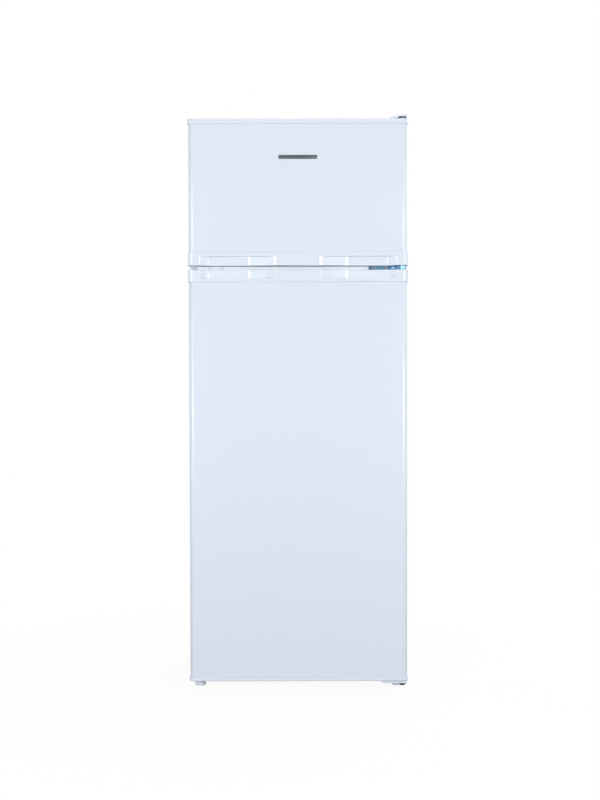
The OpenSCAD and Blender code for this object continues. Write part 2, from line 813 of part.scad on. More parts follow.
// Half of the profile of the welded shell, from its bottom to its dome
shell_profile = concat([[0, 0], [comp_r - 14, 0]], arc([comp_r - 16, 16], 14, -90, 0, 4),
    [[comp_r - 2, 74], [comp_r, 75], [comp_r, 80], [comp_r - 2, 81]],
    arc([comp_r - 34, comp_top_z - comp_base_z - 35], 32, 0, 84, 6), [[0, comp_top_z - comp_base_z]]);

module compressor_shell() {
    color(BLACK_PAINT) {
        hull() for (side = [-1, 1])
            translate([comp_x + side * comp_half_gap, comp_y, comp_base_z + 2.5])
                rotate_extrude($fn = 32) polygon(shell_profile * 0.98);
        difference() {
            for (x = [comp_x - 72, comp_x + 72])
                block([x - 11, comp_y - 58, comp_base_z], [x + 11, comp_y + 58, comp_base_z + 2.5]);
            for (p = mount_points)
                translate([p[0], p[1], comp_base_z - eps]) cylinder(h = 5, r = 3.4);
        }
        for (y = [comp_y - 32, comp_y + 32])
            block([comp_x - 72, y - 6, comp_base_z], [comp_x + 72, y + 6, comp_base_z + 5]);
    }
}

// The cover of the starter and the overload switch
relay_x = comp_x + comp_half_gap + comp_r;

module starter_relay_cover() {
    color(BLACK_PLASTIC) difference() {
        along_z(70, 128) polygon(rounded_rect([relay_x - 1, comp_y - 26], [relay_x + 34, comp_y + 26], 6));
        block([relay_x - 2, comp_y - 23, 67], [relay_x + 31, comp_y + 23, 125]);
    }
}

// A tray over the compressor, whose heat dries the water that drips in it
tray_lo = [comp_x - 90, comp_y - 34, comp_top_z + 1];
tray_hi = [comp_x + 90, comp_y + 66, comp_top_z + 25];

module drip_tray() {
    color(BLACK_PLASTIC) bin(tray_lo, tray_hi, 14, 2.5);
}

// The drain of the fridge compartment, down to the tray
module drain_spout() {
    color(WHITE_PLASTIC) translate([drain_x, drain_y, 0]) difference() {
        union() {
            translate([0, 0, tray_lo[2] + 12]) cylinder(h = step_top_z - tray_lo[2] - 12, r = 7.8);
            translate([0, 0, step_top_z]) cylinder(h = 1.5, r = 12);
        }
        translate([0, 0, tray_lo[2]]) cylinder(h = 100, r = 5.6);
    }
}

drier_x = -150;
drier_y = 205;

module filter_drier() {
    color(COPPER) translate([drier_x, drier_y, 70]) rotate_extrude()
        polygon([[0, 0], [2.6, 0], [2.6, 8], [9, 16], [9, 92], [2.6, 100], [2.6, 112], [0, 112]]);
}

// Start of the condenser at the bottom, and its end at the top
condenser_in = [-tube_hw, tube_y, first_pass_z];
condenser_out = [(passes % 2 == 0 ? -1 : 1) * tube_hw, tube_y, last_pass_z];

module refrigerant_pipes() {
    stub_x = comp_x - comp_half_gap - comp_r + 2.5;
    color(COPPER) {
        // discharge, from the compressor to the foot of the condenser
        pipe([[stub_x, comp_y + 10, 80], [-70, comp_y + 10, 80], [-70, 236, 80], [-245, 236, 80],
              [-245, 236, 215], [-245, tube_y, 215], [-245, tube_y, first_pass_z], condenser_in],
             tube_r, 10);
        // return of the liquid, from the top of the condenser down to the filter drier
        pipe([condenser_out, [-255, tube_y, last_pass_z], [-255, tube_y, 205],
              [-255, drier_y, 205], [drier_x, drier_y, 205], [drier_x, drier_y, 182]], tube_r, 10);
        // capillary, from under the drier behind the compressor and up into the insulation
        pipe([[drier_x, drier_y, 70], [drier_x, drier_y, 55], [-110, drier_y, 55], [-110, drier_y, 150],
              [-110, 240, 150], [205, 240, 150], [205, 240, bay_top_z - sheet]], 1.1, 6);
        // suction, from the insulation back to the compressor
        pipe([[225, comp_y, bay_top_z - sheet], [225, comp_y, 60], [225, comp_y - 42, 60],
              [comp_x + 65, comp_y - 42, 60]], 3, 14);
        // service stub
        pipe([[stub_x, comp_y - 12, 70], [-40, comp_y - 12, 70], [-40, comp_y - 12, 95]], 2.6, 10);
    }
}

module condenser_tube() {
    color(BLACK_PAINT) for (i = [0:passes - 1]) {
        z = first_pass_z + i * pass_pitch;
        rod([-tube_hw, tube_y, z], [tube_hw, tube_y, z], tube_r);
        if (i < passes - 1) {
            side = i % 2 == 0 ? 1 : -1;
            translate([side * tube_hw, tube_y, z + pass_pitch / 2]) rotate([90, side * 90, 0])
                rotate_extrude(angle = 180) translate([pass_pitch / 2, 0]) circle(r = tube_r);
        }
    }
}

module condenser_wires() {
    reach = tube_r + wire_r + 0.03;
    count = floor(2 * (tube_hw - 10) / wire_pitch);
    x0 = -count * wire_pitch / 2;
    color(BLACK_PAINT) for (i = [0:count], side = [-1, 1])
        translate([x0 + i * wire_pitch, tube_y + side * reach, first_pass_z - 18])
            cylinder(h = last_pass_z - first_pass_z + 36, r = wire_r, $fn = 16);
}

// Clips that hold the condenser off the back panel
module condenser_brackets() {
    color(BLACK_PLASTIC) for (side = [-1, 1], pass = [1, 7, 13, 19]) {
        z = first_pass_z + min(pass, passes - 2) * pass_pitch;
        x = side * (tube_hw - 4);
        difference() {
            union() {
                block([x - 5, back_y, z - 14], [x + 5, back_y + 3, z + 14]);
                block([x - 5, back_y, z - 5], [x + 5, tube_y + 0.5, z + 5]);
            }
            rod([x - 8, tube_y, z], [x + 8, tube_y, z], tube_r + 0.1);
            block([x - 8, tube_y, z - tube_r - 0.1], [x + 8, tube_y + 5, z + tube_r + 0.1]);
        }
    }
}

gland_x = -170;
gland_z = base_plate_z + 34;
gland_bore_r = 3.6;

// The bush on the base plate where a supply cord would go in
module cord_gland() {
    color(DARK_RUBBER) translate([gland_x, back_y - 2, gland_z]) rotate([-90, 0, 0])
        difference() {
            union() {
                cylinder(h = 3, r = 8.5);
                translate([0, 0, -6]) cylinder(h = 14, r = 6);
            }
            translate([0, 0, -8]) cylinder(h = 18, r = gland_bore_r);
        }
}

// ---------- doors ----------

// Plan of a door with its front corners rounded: half width, front and back
function door_plan(hw, y0, y1, r) = concat([[hw, y1]], arc([hw - r, y0 + r], r, 0, -90, 8),
    arc([-hw + r, y0 + r], r, -90, -180, 8), [[-hw, y1]]);

corner_r = 11.5;

// The bent sheet of a door: its face, its sides and the flanges that hold the liner
module door_panel(z0, z1) {
    flange = 12;
    color(WHITE_PAINT) along_z(z0, z1) difference() {
        polygon(door_plan(steel_hw, door_face_y, door_back_y, corner_r));
        polygon(door_plan(foam_hw, door_face_y + sheet, door_back_y - sheet, corner_r - sheet));
        translate([-steel_hw + flange, door_back_y - 2 * sheet])
            square([2 * (steel_hw - flange), 3 * sheet]);
    }
}

// The raised rim of a door's liner between z0 and z1, drawn in by g
module liner_rim(z0, z1, g) {
    along_y(door_back_y - 5, door_back_y + rim_d - g) difference() {
        polygon(rounded_rect([-rim_hw + g, z0 + rim_gap + g], [rim_hw - g, z1 - rim_gap - g], rim_r));
        polygon(rounded_rect([-rim_hw + rim_w - g, z0 + rim_gap + rim_w - g],
                             [rim_hw - rim_w + g, z1 - rim_gap - rim_w + g], rim_r - 4));
    }
}

// A door's insulation, from z0 to z1, with the rim of a compartment from c0 to c1
module door_foam(z0, z1, c0, c1) {
    color(FOAM) {
        along_z(z0, z1)
            polygon(door_plan(foam_hw, door_face_y + sheet, door_back_y - liner_t, corner_r - sheet));
        liner_rim(c0, c1, liner_t);
    }
}

// A door's liner from z0 to z1, with blocks under the racks
module door_liner(z0, z1, c0, c1, rack_levels) {
    block_h = 10;
    color(LINER_WHITE) {
        difference() {
            union() {
                block([-steel_hw + 12.2, door_back_y - liner_t, z0 + 2],
                      [steel_hw - 12.2, door_back_y, z1 - 2]);
                liner_rim(c0, c1, 0);
                for (z = rack_levels, side = [-1, 1], x = [side * (rim_hw - rim_w - 4.5)])
                    block([x - 5, door_back_y - 0.5, z - block_h - 0.3],
                          [x + 5, door_back_y + 24, z - 0.3]);
            }
            liner_rim(c0, c1, liner_t);
            block([-steel_hw, door_face_y, z0 - eps], [steel_hw, door_back_y - liner_t, z1 + eps]);
        }
    }
}

// A hollow magnetic strip round the door, pressed into the liner
module door_gasket(z0, z1) {
    w = 16;
    hw = 262;
    r = 6;
    color(GREY_RUBBER) {
        along_y(door_back_y, door_back_y + gasket_t) difference() {
            polygon(rounded_rect([-hw, z0], [hw, z1], r));
            polygon(rounded_rect([-hw + w, z0 + w], [hw - w, z1 - w], r - 3));
        }
    }
}

// A rack: a bin whose wall towards the door is low
module door_rack(z, h) {
    y0 = door_back_y + 1;
    y1 = door_back_y + rack_d;
    difference() {
        bin([-rack_hw, y0, z], [rack_hw, y1, z + h], 10, rack_t);
        along_x(-rack_hw + 12, rack_hw - 12)
            polygon([[y0 - eps, z + 16], [y0 - eps, z + h + eps], [y0 + 6, z + h + eps], [y0 + 6, z + 16]]);
    }
}

// One side of the finger scoop, as distances from the middle and depths: a low step, a long ramp, a higher
// step, the floor and a steep outer ramp
scoop_profile = [[42, 0], [54.5, 0.5], [58.5, 2], [120, scoop_d - 2.4], [124, scoop_d - 0.8],
                 [222, scoop_d - 0.4], [244, 0]];

module scoop_plan() {
    polygon(concat([[42, trim_front_y - eps]], [for (p = scoop_profile) [p[0], trim_front_y + p[1]]],
                   [[244, trim_front_y - eps]]));
}

// A handle trim from z0 to z1. Its scoops and its finger pockets open towards open_z.
module handle_trim(z0, z1, open_z, scoop_h) {
    pocket_y = trim_front_y + scoop_d + 5;
    pocket_h = scoop_h - 1;
    up = open_z == z1 ? 1 : -1;
    scoop_z = up > 0 ? [z1 - scoop_h, z1 + eps] : [z0 - eps, z0 + scoop_h];
    pocket_z = up > 0 ? [z1 - pocket_h, z1 + eps] : [z0 - eps, z0 + pocket_h];
    color(WHITE_PLASTIC) difference() {
        along_z(z0, z1)
            polygon(door_plan(trim_hw, trim_front_y, door_back_y - liner_t, corner_r + 1));
        for (side = [0, 1]) mirror([side, 0, 0]) {
            along_z(scoop_z[0], scoop_z[1]) scoop_plan();
            along_z(pocket_z[0], pocket_z[1])
                polygon(rounded_rect([126, pocket_y], [216, pocket_y + 17], 5));
            bush_seat(up > 0 ? z1 - bush_l : z0, up);
        }
    }
}

bush_l = 14;
bush_r = 7;

// The hole for a bush, which starts at z and is open upwards or downwards
module bush_seat(z, up) {
    translate([pin_x, pin_y, up > 0 ? z : z - eps]) cylinder(h = bush_l + eps, r = bush_r + 0.1);
}

// A plain end cap from z0 to z1, with a hole on each side for a bush
module end_cap(z0, z1) {
    color(WHITE_PLASTIC) difference() {
        along_z(z0, z1)
            polygon(door_plan(trim_hw, trim_front_y, door_back_y - liner_t, corner_r + 1));
        for (side = [-1, 1])
            translate([side * pin_x, pin_y, z0 - eps]) cylinder(h = z1 - z0 + 2 * eps, r = bush_r + 0.1);
    }
}

// A bush from z0 to z1, with a bore for the pin
module bush(z0, z1) {
    translate([pin_x, pin_y, z0]) difference() {
        cylinder(h = z1 - z0, r = bush_r);
        translate([0, 0, -eps]) cylinder(h = z1 - z0 + 2 * eps, r = pin_r + pin_play);
    }
}

// Plugs in the bush holes of the side without hinges
module blank_bush(z0, z1) {
    translate([-pin_x, pin_y, z0]) cylinder(h = z1 - z0, r = bush_r);
}

module freezer_door_panel() {
    door_panel(freezer_door_bottom_z + upper_trim_h, door_top_z - top_cap_h);
}

module freezer_door_top_cap() {
    end_cap(door_top_z - top_cap_h, door_top_z);
}

module freezer_door_handle_trim() {
    handle_trim(freezer_door_bottom_z, freezer_door_bottom_z + upper_trim_h, freezer_door_bottom_z, 23);
}

module freezer_door_foam() {
    door_foam(freezer_door_bottom_z + upper_trim_h, door_top_z - top_cap_h,
              freezer_floor_z, freezer_ceiling_z);
}

module freezer_door_liner() {
    door_liner(freezer_door_bottom_z, door_top_z, freezer_floor_z, freezer_ceiling_z, freezer_rack_levels);
}

module freezer_door_gasket() {
    door_gasket(freezer_door_bottom_z + 9, door_top_z - 11);
}

module freezer_door_racks() {
    color(CLEAR_PLASTIC) for (z = freezer_rack_levels) door_rack(z, 55);
}

module freezer_door_bushes() {
    color(GREY_RUBBER) {
        bush(door_top_z - top_cap_h, door_top_z);
        bush(freezer_door_bottom_z, freezer_door_bottom_z + bush_l);
        blank_bush(door_top_z - top_cap_h, door_top_z);
        blank_bush(freezer_door_bottom_z, freezer_door_bottom_z + bush_l);
    }
}

// A plain name plate with nothing on it
module door_badge() {
    color(BADGE_GREY) along_y(door_face_y - 1.2, door_face_y)
        polygon(rounded_rect([-48, badge_z - 5], [48, badge_z + 5], 2));
}

module fridge_door_panel() {
    door_panel(door_bottom_z + bottom_cap_h, fridge_door_top_z - lower_trim_h);
}

module fridge_door_handle_trim() {
    handle_trim(fridge_door_top_z - lower_trim_h, fridge_door_top_z, fridge_door_top_z, 22);
}

module fridge_door_bottom_cap() {
    end_cap(door_bottom_z, door_bottom_z + bottom_cap_h);
}

module fridge_door_foam() {
    door_foam(door_bottom_z + bottom_cap_h, fridge_door_top_z - lower_trim_h,
              fridge_floor_z, fridge_ceiling_z);
}

module fridge_door_liner() {
    door_liner(door_bottom_z, fridge_door_top_z, fridge_floor_z, fridge_ceiling_z,
               concat([bottle_rack_z], fridge_rack_levels));
}

module fridge_door_gasket() {
    door_gasket(door_bottom_z + 10.5, fridge_door_top_z - 9);
}

module fridge_door_racks() {
    color(CLEAR_PLASTIC) {
        for (z = fridge_rack_levels) door_rack(z, 60);
        door_rack(bottle_rack_z, 92);
    }
}

module fridge_door_bushes() {
    color(GREY_RUBBER) {
        bush(fridge_door_top_z - bush_l, fridge_door_top_z);
        bush(door_bottom_z, door_bottom_z + bottom_cap_h);
        blank_bush(fridge_door_top_z - bush_l, fridge_door_top_z);
        blank_bush(door_bottom_z, door_bottom_z + bottom_cap_h);
    }
}

// ---------- the assembly ----------

left_side_panel();
right_side_panel();
top_panel();
back_panel();
bottom_panel();
compressor_step_panel();
insulation_foam();
freezer_liner();
fridge_liner();
centre_rail();
evaporator_plates();
freezer_shelf();
glass_shelf_panes();
glass_shelf_trims();
control_housing();
thermostat_body();
lamp_module();
lamp_lens();
top_hinge_bracket();
top_hinge_cover();
middle_hinge_bracket();
bottom_hinge_bracket();
left_foot_bracket();
hinge_screws();
hinge_hole_plugs();
compressor_shell();
compressor_base_plate();
compressor_mounts();
starter_relay_cover();
drip_tray();
filter_drier();
refrigerant_pipes();
condenser_tube();
condenser_wires();
condenser_brackets();
drain_spout();
cord_gland();
rear_feet();
freezer_door_panel();
freezer_door_top_cap();
freezer_door_handle_trim();
freezer_door_foam();
freezer_door_liner();
freezer_door_gasket();
freezer_door_racks();
freezer_door_bushes();
door_badge();
fridge_door_panel();
fridge_door_handle_trim();
fridge_door_bottom_cap();
fridge_door_foam();
fridge_door_liner();
fridge_door_gasket();
fridge_door_racks();
fridge_door_bushes();
crisper_drawer();
thermostat_knob();
door_switch_plunger();
left_levelling_foot();
right_levelling_foot();
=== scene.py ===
"""Visual model of a free-standing refrigerator with the freezer on top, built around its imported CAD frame.

Each class below is one sub-assembly of the refrigerator. A piece is either a new mesh that stands for a
CAD node, or the CAD node itself with a finish and softened edges. Everything is in metres, in the frame of
the CAD part: the floor is z = 0, the doors face -Y and the hinges are on the +X side.
"""

import json
import logging
import math
from dataclasses import dataclass, field
from enum import Enum
from typing import Any, Sequence

import bmesh
import bpy
from mathutils import Matrix, Vector


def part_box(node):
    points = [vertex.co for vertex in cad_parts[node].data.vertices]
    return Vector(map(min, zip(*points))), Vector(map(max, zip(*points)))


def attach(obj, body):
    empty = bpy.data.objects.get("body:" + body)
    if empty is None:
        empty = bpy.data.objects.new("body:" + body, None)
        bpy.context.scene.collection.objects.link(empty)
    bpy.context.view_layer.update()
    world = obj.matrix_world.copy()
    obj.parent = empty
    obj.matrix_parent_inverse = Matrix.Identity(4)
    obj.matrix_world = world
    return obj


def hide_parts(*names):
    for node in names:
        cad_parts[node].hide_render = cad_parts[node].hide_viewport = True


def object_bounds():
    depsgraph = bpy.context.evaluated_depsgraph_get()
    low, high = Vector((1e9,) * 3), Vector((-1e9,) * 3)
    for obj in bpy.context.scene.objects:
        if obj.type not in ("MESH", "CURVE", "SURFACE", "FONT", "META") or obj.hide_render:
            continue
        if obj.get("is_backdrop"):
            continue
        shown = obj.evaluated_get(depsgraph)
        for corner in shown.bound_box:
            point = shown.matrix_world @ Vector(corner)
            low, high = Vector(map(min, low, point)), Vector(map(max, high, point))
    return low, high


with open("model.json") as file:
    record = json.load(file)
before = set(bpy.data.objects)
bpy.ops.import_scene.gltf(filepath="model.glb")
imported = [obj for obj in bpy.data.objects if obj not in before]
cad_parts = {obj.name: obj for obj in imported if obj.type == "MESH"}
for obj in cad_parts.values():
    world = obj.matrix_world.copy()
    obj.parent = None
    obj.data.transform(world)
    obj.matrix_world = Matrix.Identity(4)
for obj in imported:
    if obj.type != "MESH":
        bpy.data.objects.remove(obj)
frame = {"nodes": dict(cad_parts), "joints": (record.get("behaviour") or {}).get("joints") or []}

LOG = logging.getLogger("refrigerator")
MM = 0.001

Plan = list[tuple[float, float]]
Ring = list[tuple[float, float, float]]


# ---------------------------------------------------------------- materials


def linear(hex_colour: str) -> tuple[float, float, float, float]:
    """Turn an sRGB hex colour into linear light.

    Args:
        hex_colour: Six hex digits, red first.

    Returns:
        Red, green, blue and an alpha of 1.
    """
    channels = [int(hex_colour[i : i + 2], 16) / 255 for i in (0, 2, 4)]
    light = [c / 12.92 if c <= 0.04045 else ((c + 0.055) / 1.055) ** 2.4 for c in channels]
    return (light[0], light[1], light[2], 1.0)


def shade_of(hex_colour: str, factor: float) -> tuple[float, float, float, float]:
    """Return a hex colour in linear light, made darker or lighter by a factor."""
    red, green, blue, alpha = linear(hex_colour)
    return (min(red * factor, 1.0), min(green * factor, 1.0), min(blue * factor, 1.0), alpha)


def add_node(
    tree: bpy.types.NodeTree,
    kind: str,
    values: dict[str, Any] | None = None,
    links: dict[str, bpy.types.NodeSocket] | None = None,
    **settings: Any,
) -> bpy.types.Node:
    """Add one node to a tree.

    Args:
        tree: The node tree of a material or of the world.
        kind: The node's type, as Blender names it.
        values: Input socket name to the value that it holds.
        links: Input socket name to the output socket that feeds it.
        **settings: Properties of the node itself.

    Returns:
        The new node.
    """
    node = tree.nodes.new(kind)
    for name, value in settings.items():
        setattr(node, name, value)
    for name, value in (values or {}).items():
        next(s for s in node.inputs if s.name == name and s.enabled).default_value = value
    for name, source in (links or {}).items():
        tree.links.new(source, next(s for s in node.inputs if s.name == name and s.enabled))
    return node


class Grain(Enum):
    """How a surface was made, which decides the pattern of its relief."""

    ORANGE_PEEL = "sprayed and baked"
    MOULDED = "moulded"
    FORMED = "thermoformed"
    BRUSHED = "brushed along X"
    DRAWN = "drawn or rolled"
    SPANGLE = "hot dipped"
    CELLS = "foamed"


# How far each grain is stretched along X, Y and Z. A larger number makes the pattern finer that way.
STRETCH: dict[Grain, tuple[float, float, float]] = {
    Grain.ORANGE_PEEL: (1.0, 1.0, 1.0),
    Grain.MOULDED: (1.0, 1.0, 1.0),
    Grain.FORMED: (1.0, 1.0, 1.0),
    Grain.BRUSHED: (0.04, 1.0, 1.0),
    Grain.DRAWN: (1.0, 1.0, 0.12),
    Grain.SPANGLE: (1.0, 1.0, 1.0),
    Grain.CELLS: (1.0, 1.0, 1.0),
}
CELLULAR = (Grain.SPANGLE, Grain.CELLS)
# Length of the slow waves of a large thin sheet.
SWAY_MM = 1000 / 2.6


@dataclass(frozen=True)
class Finish:
    """One real material with the way its surface was made.

    Attributes:
        name: The material's common name and its process.
        colour: sRGB hex colour.
        roughness: Mean roughness of the surface.
        metallic: 1 for bare metal.
        ior: Index of refraction; metals keep Blender's own.
        grain: The process that gives the relief its pattern.
        grain_mm: Real size of one grain.
        relief_mm: Height of the relief.
        tone: How far the colour wanders either way.
        rough_spread: How far the roughness wanders either way.
        tone_mm: Real size of the patches over which colour and roughness wander.
        sway_mm: Height of the slow waves of a large thin sheet.
        transmission: 1 for what is seen through.
    """

    name: str
    colour: str
    roughness: float
    metallic: float = 0.0
    ior: float = 1.5
    grain: Grain = Grain.MOULDED
    grain_mm: float = 1.0
    relief_mm: float = 0.01
    tone: float = 0.015
    rough_spread: float = 0.04
    tone_mm: float = 140.0
    sway_mm: float = 0.0
    transmission: float = 0.0

    def material(self) -> bpy.types.Material:
        """Return this finish's material, which is made the first time it is asked for."""
        found = bpy.data.materials.get(self.name)
        if found:
            return found
        made = bpy.data.materials.new(self.name)
        made.use_nodes = True
        made.node_tree.nodes.clear()
        self._fill(made.node_tree)
        made.diffuse_color = linear(self.colour)
        return made

    def _fill(self, tree: bpy.types.NodeTree) -> None:
        """Build the shader: wandering colour and roughness, and a relief."""
        place = add_node(tree, "ShaderNodeTexCoord").outputs["Object"]
        patches = add_node(
            tree,
            "ShaderNodeTexNoise",
            {"Scale": 1 / (self.tone_mm * MM), "Detail": 4.0, "Roughness": 0.55},
            {"Vector": place},
        ).outputs["Fac"]
        mix = add_node(
            tree,
            "ShaderNodeMix",
            {"A": shade_of(self.colour, 1 - self.tone), "B": shade_of(self.colour, 1 + self.tone)},
            {"Factor": patches},
            data_type="RGBA",
        )
        colour = next(socket for socket in mix.outputs if socket.enabled)
        smears = add_node(
            tree,
            "ShaderNodeTexNoise",
            {"Scale": 3 / (self.tone_mm * MM), "Detail": 6.0, "Roughness": 0.65, "Distortion": 0.4},
            {"Vector": place},
        ).outputs["Fac"]
        roughness = add_node(
            tree,
            "ShaderNodeMapRange",
            {
                "From Min": 0.3,
                "From Max": 0.7,
                "To Min": max(self.roughness - self.rough_spread, 0.02),
                "To Max": min(self.roughness + self.rough_spread, 1.0),
            },
            {"Value": smears},
        ).outputs["Result"]
        values = {
            "Metallic": self.metallic,
            "Transmission Weight": self.transmission,
        }
        if not self.metallic:
            values["IOR"] = self.ior
        shader = add_node(
            tree,
            "ShaderNodeBsdfPrincipled",
            values,
            {"Base Color": colour, "Roughness": roughness, "Normal": self._relief(tree, place)},
        ).outputs["BSDF"]
        if self.transmission:
            shader = self._let_lamps_through(tree, shader)
        add_node(tree, "ShaderNodeOutputMaterial", links={"Surface": shader})

    def _let_lamps_through(
        self, tree: bpy.types.NodeTree, shader: bpy.types.NodeSocket
    ) -> bpy.types.NodeSocket:
        """Let the lamps light what lies behind a clear material.

        Args:
            tree: The material's node tree.
            shader: What the material shows.

        Returns:
            The same shader, with the material clear to rays from lamps.
        """
        from_lamp = add_node(tree, "ShaderNodeLightPath").outputs["Is Shadow Ray"]
        clear = add_node(tree, "ShaderNodeBsdfTransparent", {"Color": linear(self.colour)}).outputs["BSDF"]
        mixed = add_node(tree, "ShaderNodeMixShader", links={"Fac": from_lamp})
        tree.links.new(shader, mixed.inputs[1])
        tree.links.new(clear, mixed.inputs[2])
        return mixed.outputs[0]

    def _relief(self, tree: bpy.types.NodeTree, place: bpy.types.NodeSocket) -> bpy.types.NodeSocket:
        """Build the relief.

        Args:
            tree: The material's node tree.
            place: The object coordinates, in metres.

        Returns:
            The bent normal.
        """
        stretched = add_node(
            tree, "ShaderNodeMapping", {"Scale": STRETCH[self.grain]}, {"Vector": place}
        ).outputs["Vector"]
        scale = 1 / (self.grain_mm * MM)
        if self.grain in CELLULAR:
            height = add_node(
                tree, "ShaderNodeTexVoronoi", {"Scale": scale}, {"Vector": stretched}, feature="F1"
            ).outputs["Distance"]
        else:
            height = add_node(
                tree, "ShaderNodeTexNoise", {"Scale": scale, "Detail": 2.0}, {"Vector": stretched}
            ).outputs["Fac"]
        bent = add_node(
            tree,
            "ShaderNodeBump",
            {"Strength": 1.0, "Distance": self.relief_mm * MM},
            {"Height": height},
        ).outputs["Normal"]
        if not self.sway_mm:
            return bent
        waves = add_node(
            tree, "ShaderNodeTexNoise", {"Scale": 1 / (SWAY_MM * MM), "Detail": 0.0}, {"Vector": place}
        ).outputs["Fac"]
        return add_node(
            tree,
            "ShaderNodeBump",
            {"Strength": 1.0, "Distance": self.sway_mm * MM},
            {"Height": waves, "Normal": bent},
        ).outputs["Normal"]


# Polyester powder coat on sheet steel: a satin, faintly blue white with a soft orange peel.
POWDER_COAT = Finish(
    "powder_coated_steel", "DDE7F3", 0.27, grain=Grain.ORANGE_PEEL, grain_mm=2.2, relief_mm=0.01,
    tone=0.002, rough_spread=0.004, tone_mm=400, sway_mm=0.04,
)  # fmt: skip
# Injection-moulded ABS: slightly glossier and lighter than the paint beside it.
MOULDED_ABS = Finish(
    "moulded_abs", "E0E8F4", 0.21, ior=1.53, grain_mm=0.9, relief_mm=0.004, tone=0.004, rough_spread=0.01,
    tone_mm=200,
)  # fmt: skip
# Extruded PVC: the rail between the doors, duller than the mouldings round it and painted whiter than them;
# the extra white is painted light that brightens the deep, shaded gap between the doors.
RAIL_PVC_PAINTED_LIGHT = Finish(
    "extruded_pvc_painted_light", "F4F9FE", 0.3, ior=1.54, grain=Grain.FORMED, grain_mm=1.6, relief_mm=0.006,
    tone=0.004, rough_spread=0.02,
)  # fmt: skip
# Thermoformed high-impact polystyrene: a clean white with the soft gloss of a drawn sheet.
FORMED_POLYSTYRENE = Finish(
    "thermoformed_polystyrene", "EEF0F0", 0.32, ior=1.59, grain=Grain.FORMED, grain_mm=3.5, relief_mm=0.02,
    tone=0.008,
)  # fmt: skip
# Rigid polyurethane foam, poured in place: a dull straw yellow with fine cells.
POLYURETHANE_FOAM = Finish(
    "poured_polyurethane_foam", "E6D9A4", 0.9, grain=Grain.CELLS, grain_mm=2.5, relief_mm=0.4, tone=0.06,
)  # fmt: skip
# Hot-dip galvanised sheet: a dull grey metal with broad zinc crystals.
GALVANISED_SHEET = Finish(
    "galvanised_sheet", "B4B9BD", 0.42, metallic=1.0, grain=Grain.SPANGLE, grain_mm=14, relief_mm=0.03,
    tone=0.07, rough_spread=0.12, tone_mm=30,
)  # fmt: skip
# Zinc plate with a blue passivation: a clear cold blue that clouds a little from place to place.
ZINC_PLATE = Finish(
    "blue_passivated_zinc_plate", "8CBEDF", 0.32, metallic=1.0, grain=Grain.DRAWN, grain_mm=1.5,
    relief_mm=0.006, tone=0.05, rough_spread=0.1, tone_mm=18,
)  # fmt: skip
# Bright zinc with a clear passivation: nearly white, with small soft glints.
BRIGHT_ZINC = Finish(
    "bright_zinc_plate", "DCE8F0", 0.24, metallic=1.0, grain=Grain.DRAWN, grain_mm=1.0, relief_mm=0.004,
    tone=0.03, rough_spread=0.06, tone_mm=8,
)  # fmt: skip
# Stoved black enamel over a drawn shell: half gloss, with a light dusting.
BLACK_ENAMEL = Finish(
    "stoved_black_enamel", "17181A", 0.38, grain=Grain.ORANGE_PEEL, grain_mm=1.8, relief_mm=0.02, tone=0.2,
    rough_spread=0.12, tone_mm=40,
)  # fmt: skip
# Moulded polypropylene in black: matt, with the grain of an eroded mould.
BLACK_POLYPROPYLENE = Finish(
    "moulded_black_polypropylene", "1B1C1E", 0.55, grain_mm=0.8, relief_mm=0.02, tone=0.1, tone_mm=35,
)  # fmt: skip
# Drawn copper tube that has dulled in air: brown red, with darker clouds.
DRAWN_COPPER = Finish(
    "drawn_copper_tube", "B4704A", 0.34, metallic=1.0, grain=Grain.DRAWN, grain_mm=1.2, relief_mm=0.006,
    tone=0.16, rough_spread=0.14, tone_mm=22,
)  # fmt: skip
# Roll-bonded aluminium: pale and satin, with the rolling direction just visible.
ROLLED_ALUMINIUM = Finish(
    "rolled_aluminium", "C9CBCD", 0.36, metallic=1.0, grain=Grain.DRAWN, grain_mm=1.0, relief_mm=0.005,
    tone=0.04, tone_mm=60,
)  # fmt: skip
# Brushed and anodised aluminium: the plate on the door, a darker grey with a fine horizontal brush.
BRUSHED_ALUMINIUM = Finish(
    "brushed_anodised_aluminium", "7D8287", 0.36, metallic=1.0, grain=Grain.BRUSHED, grain_mm=0.5,
    relief_mm=0.008, tone=0.06, tone_mm=12,
)  # fmt: skip
# Crystal polystyrene: clear mouldings with a faint blue cast and slightly uneven walls.
CRYSTAL_POLYSTYRENE = Finish(
    "moulded_crystal_polystyrene", "F6FBFD", 0.08, ior=1.59, grain_mm=9, relief_mm=0.03, tone=0.01,
    rough_spread=0.03, transmission=0.75,
)  # fmt: skip
# Toughened float glass: clear, with the green of its edges in the body colour.
FLOAT_GLASS = Finish(
    "toughened_float_glass", "EFF9F4", 0.03, ior=1.52, grain=Grain.FORMED, grain_mm=60, relief_mm=0.01,
    tone=0.01, rough_spread=0.015, transmission=0.9,
)  # fmt: skip
# Plasticised vinyl, extruded: the gaskets, a soft warm grey white.
EXTRUDED_VINYL = Finish(
    "extruded_vinyl", "DDE0E2", 0.52, grain=Grain.FORMED, grain_mm=1.4, relief_mm=0.015, tone=0.02,
)  # fmt: skip
# Moulded black rubber: dull and slightly grey where it has bloomed.
MOULDED_RUBBER = Finish(
    "moulded_black_rubber", "202022", 0.72, grain_mm=0.7, relief_mm=0.03, tone=0.2, tone_mm=12,
)  # fmt: skip
# Natural acetal: a milky white bearing plastic.
NATURAL_ACETAL = Finish(
    "moulded_acetal", "E4E6E4", 0.36, ior=1.48, grain_mm=0.8, relief_mm=0.006, tone=0.01,
)  # fmt: skip


# ---------------------------------------------------------------- making meshes


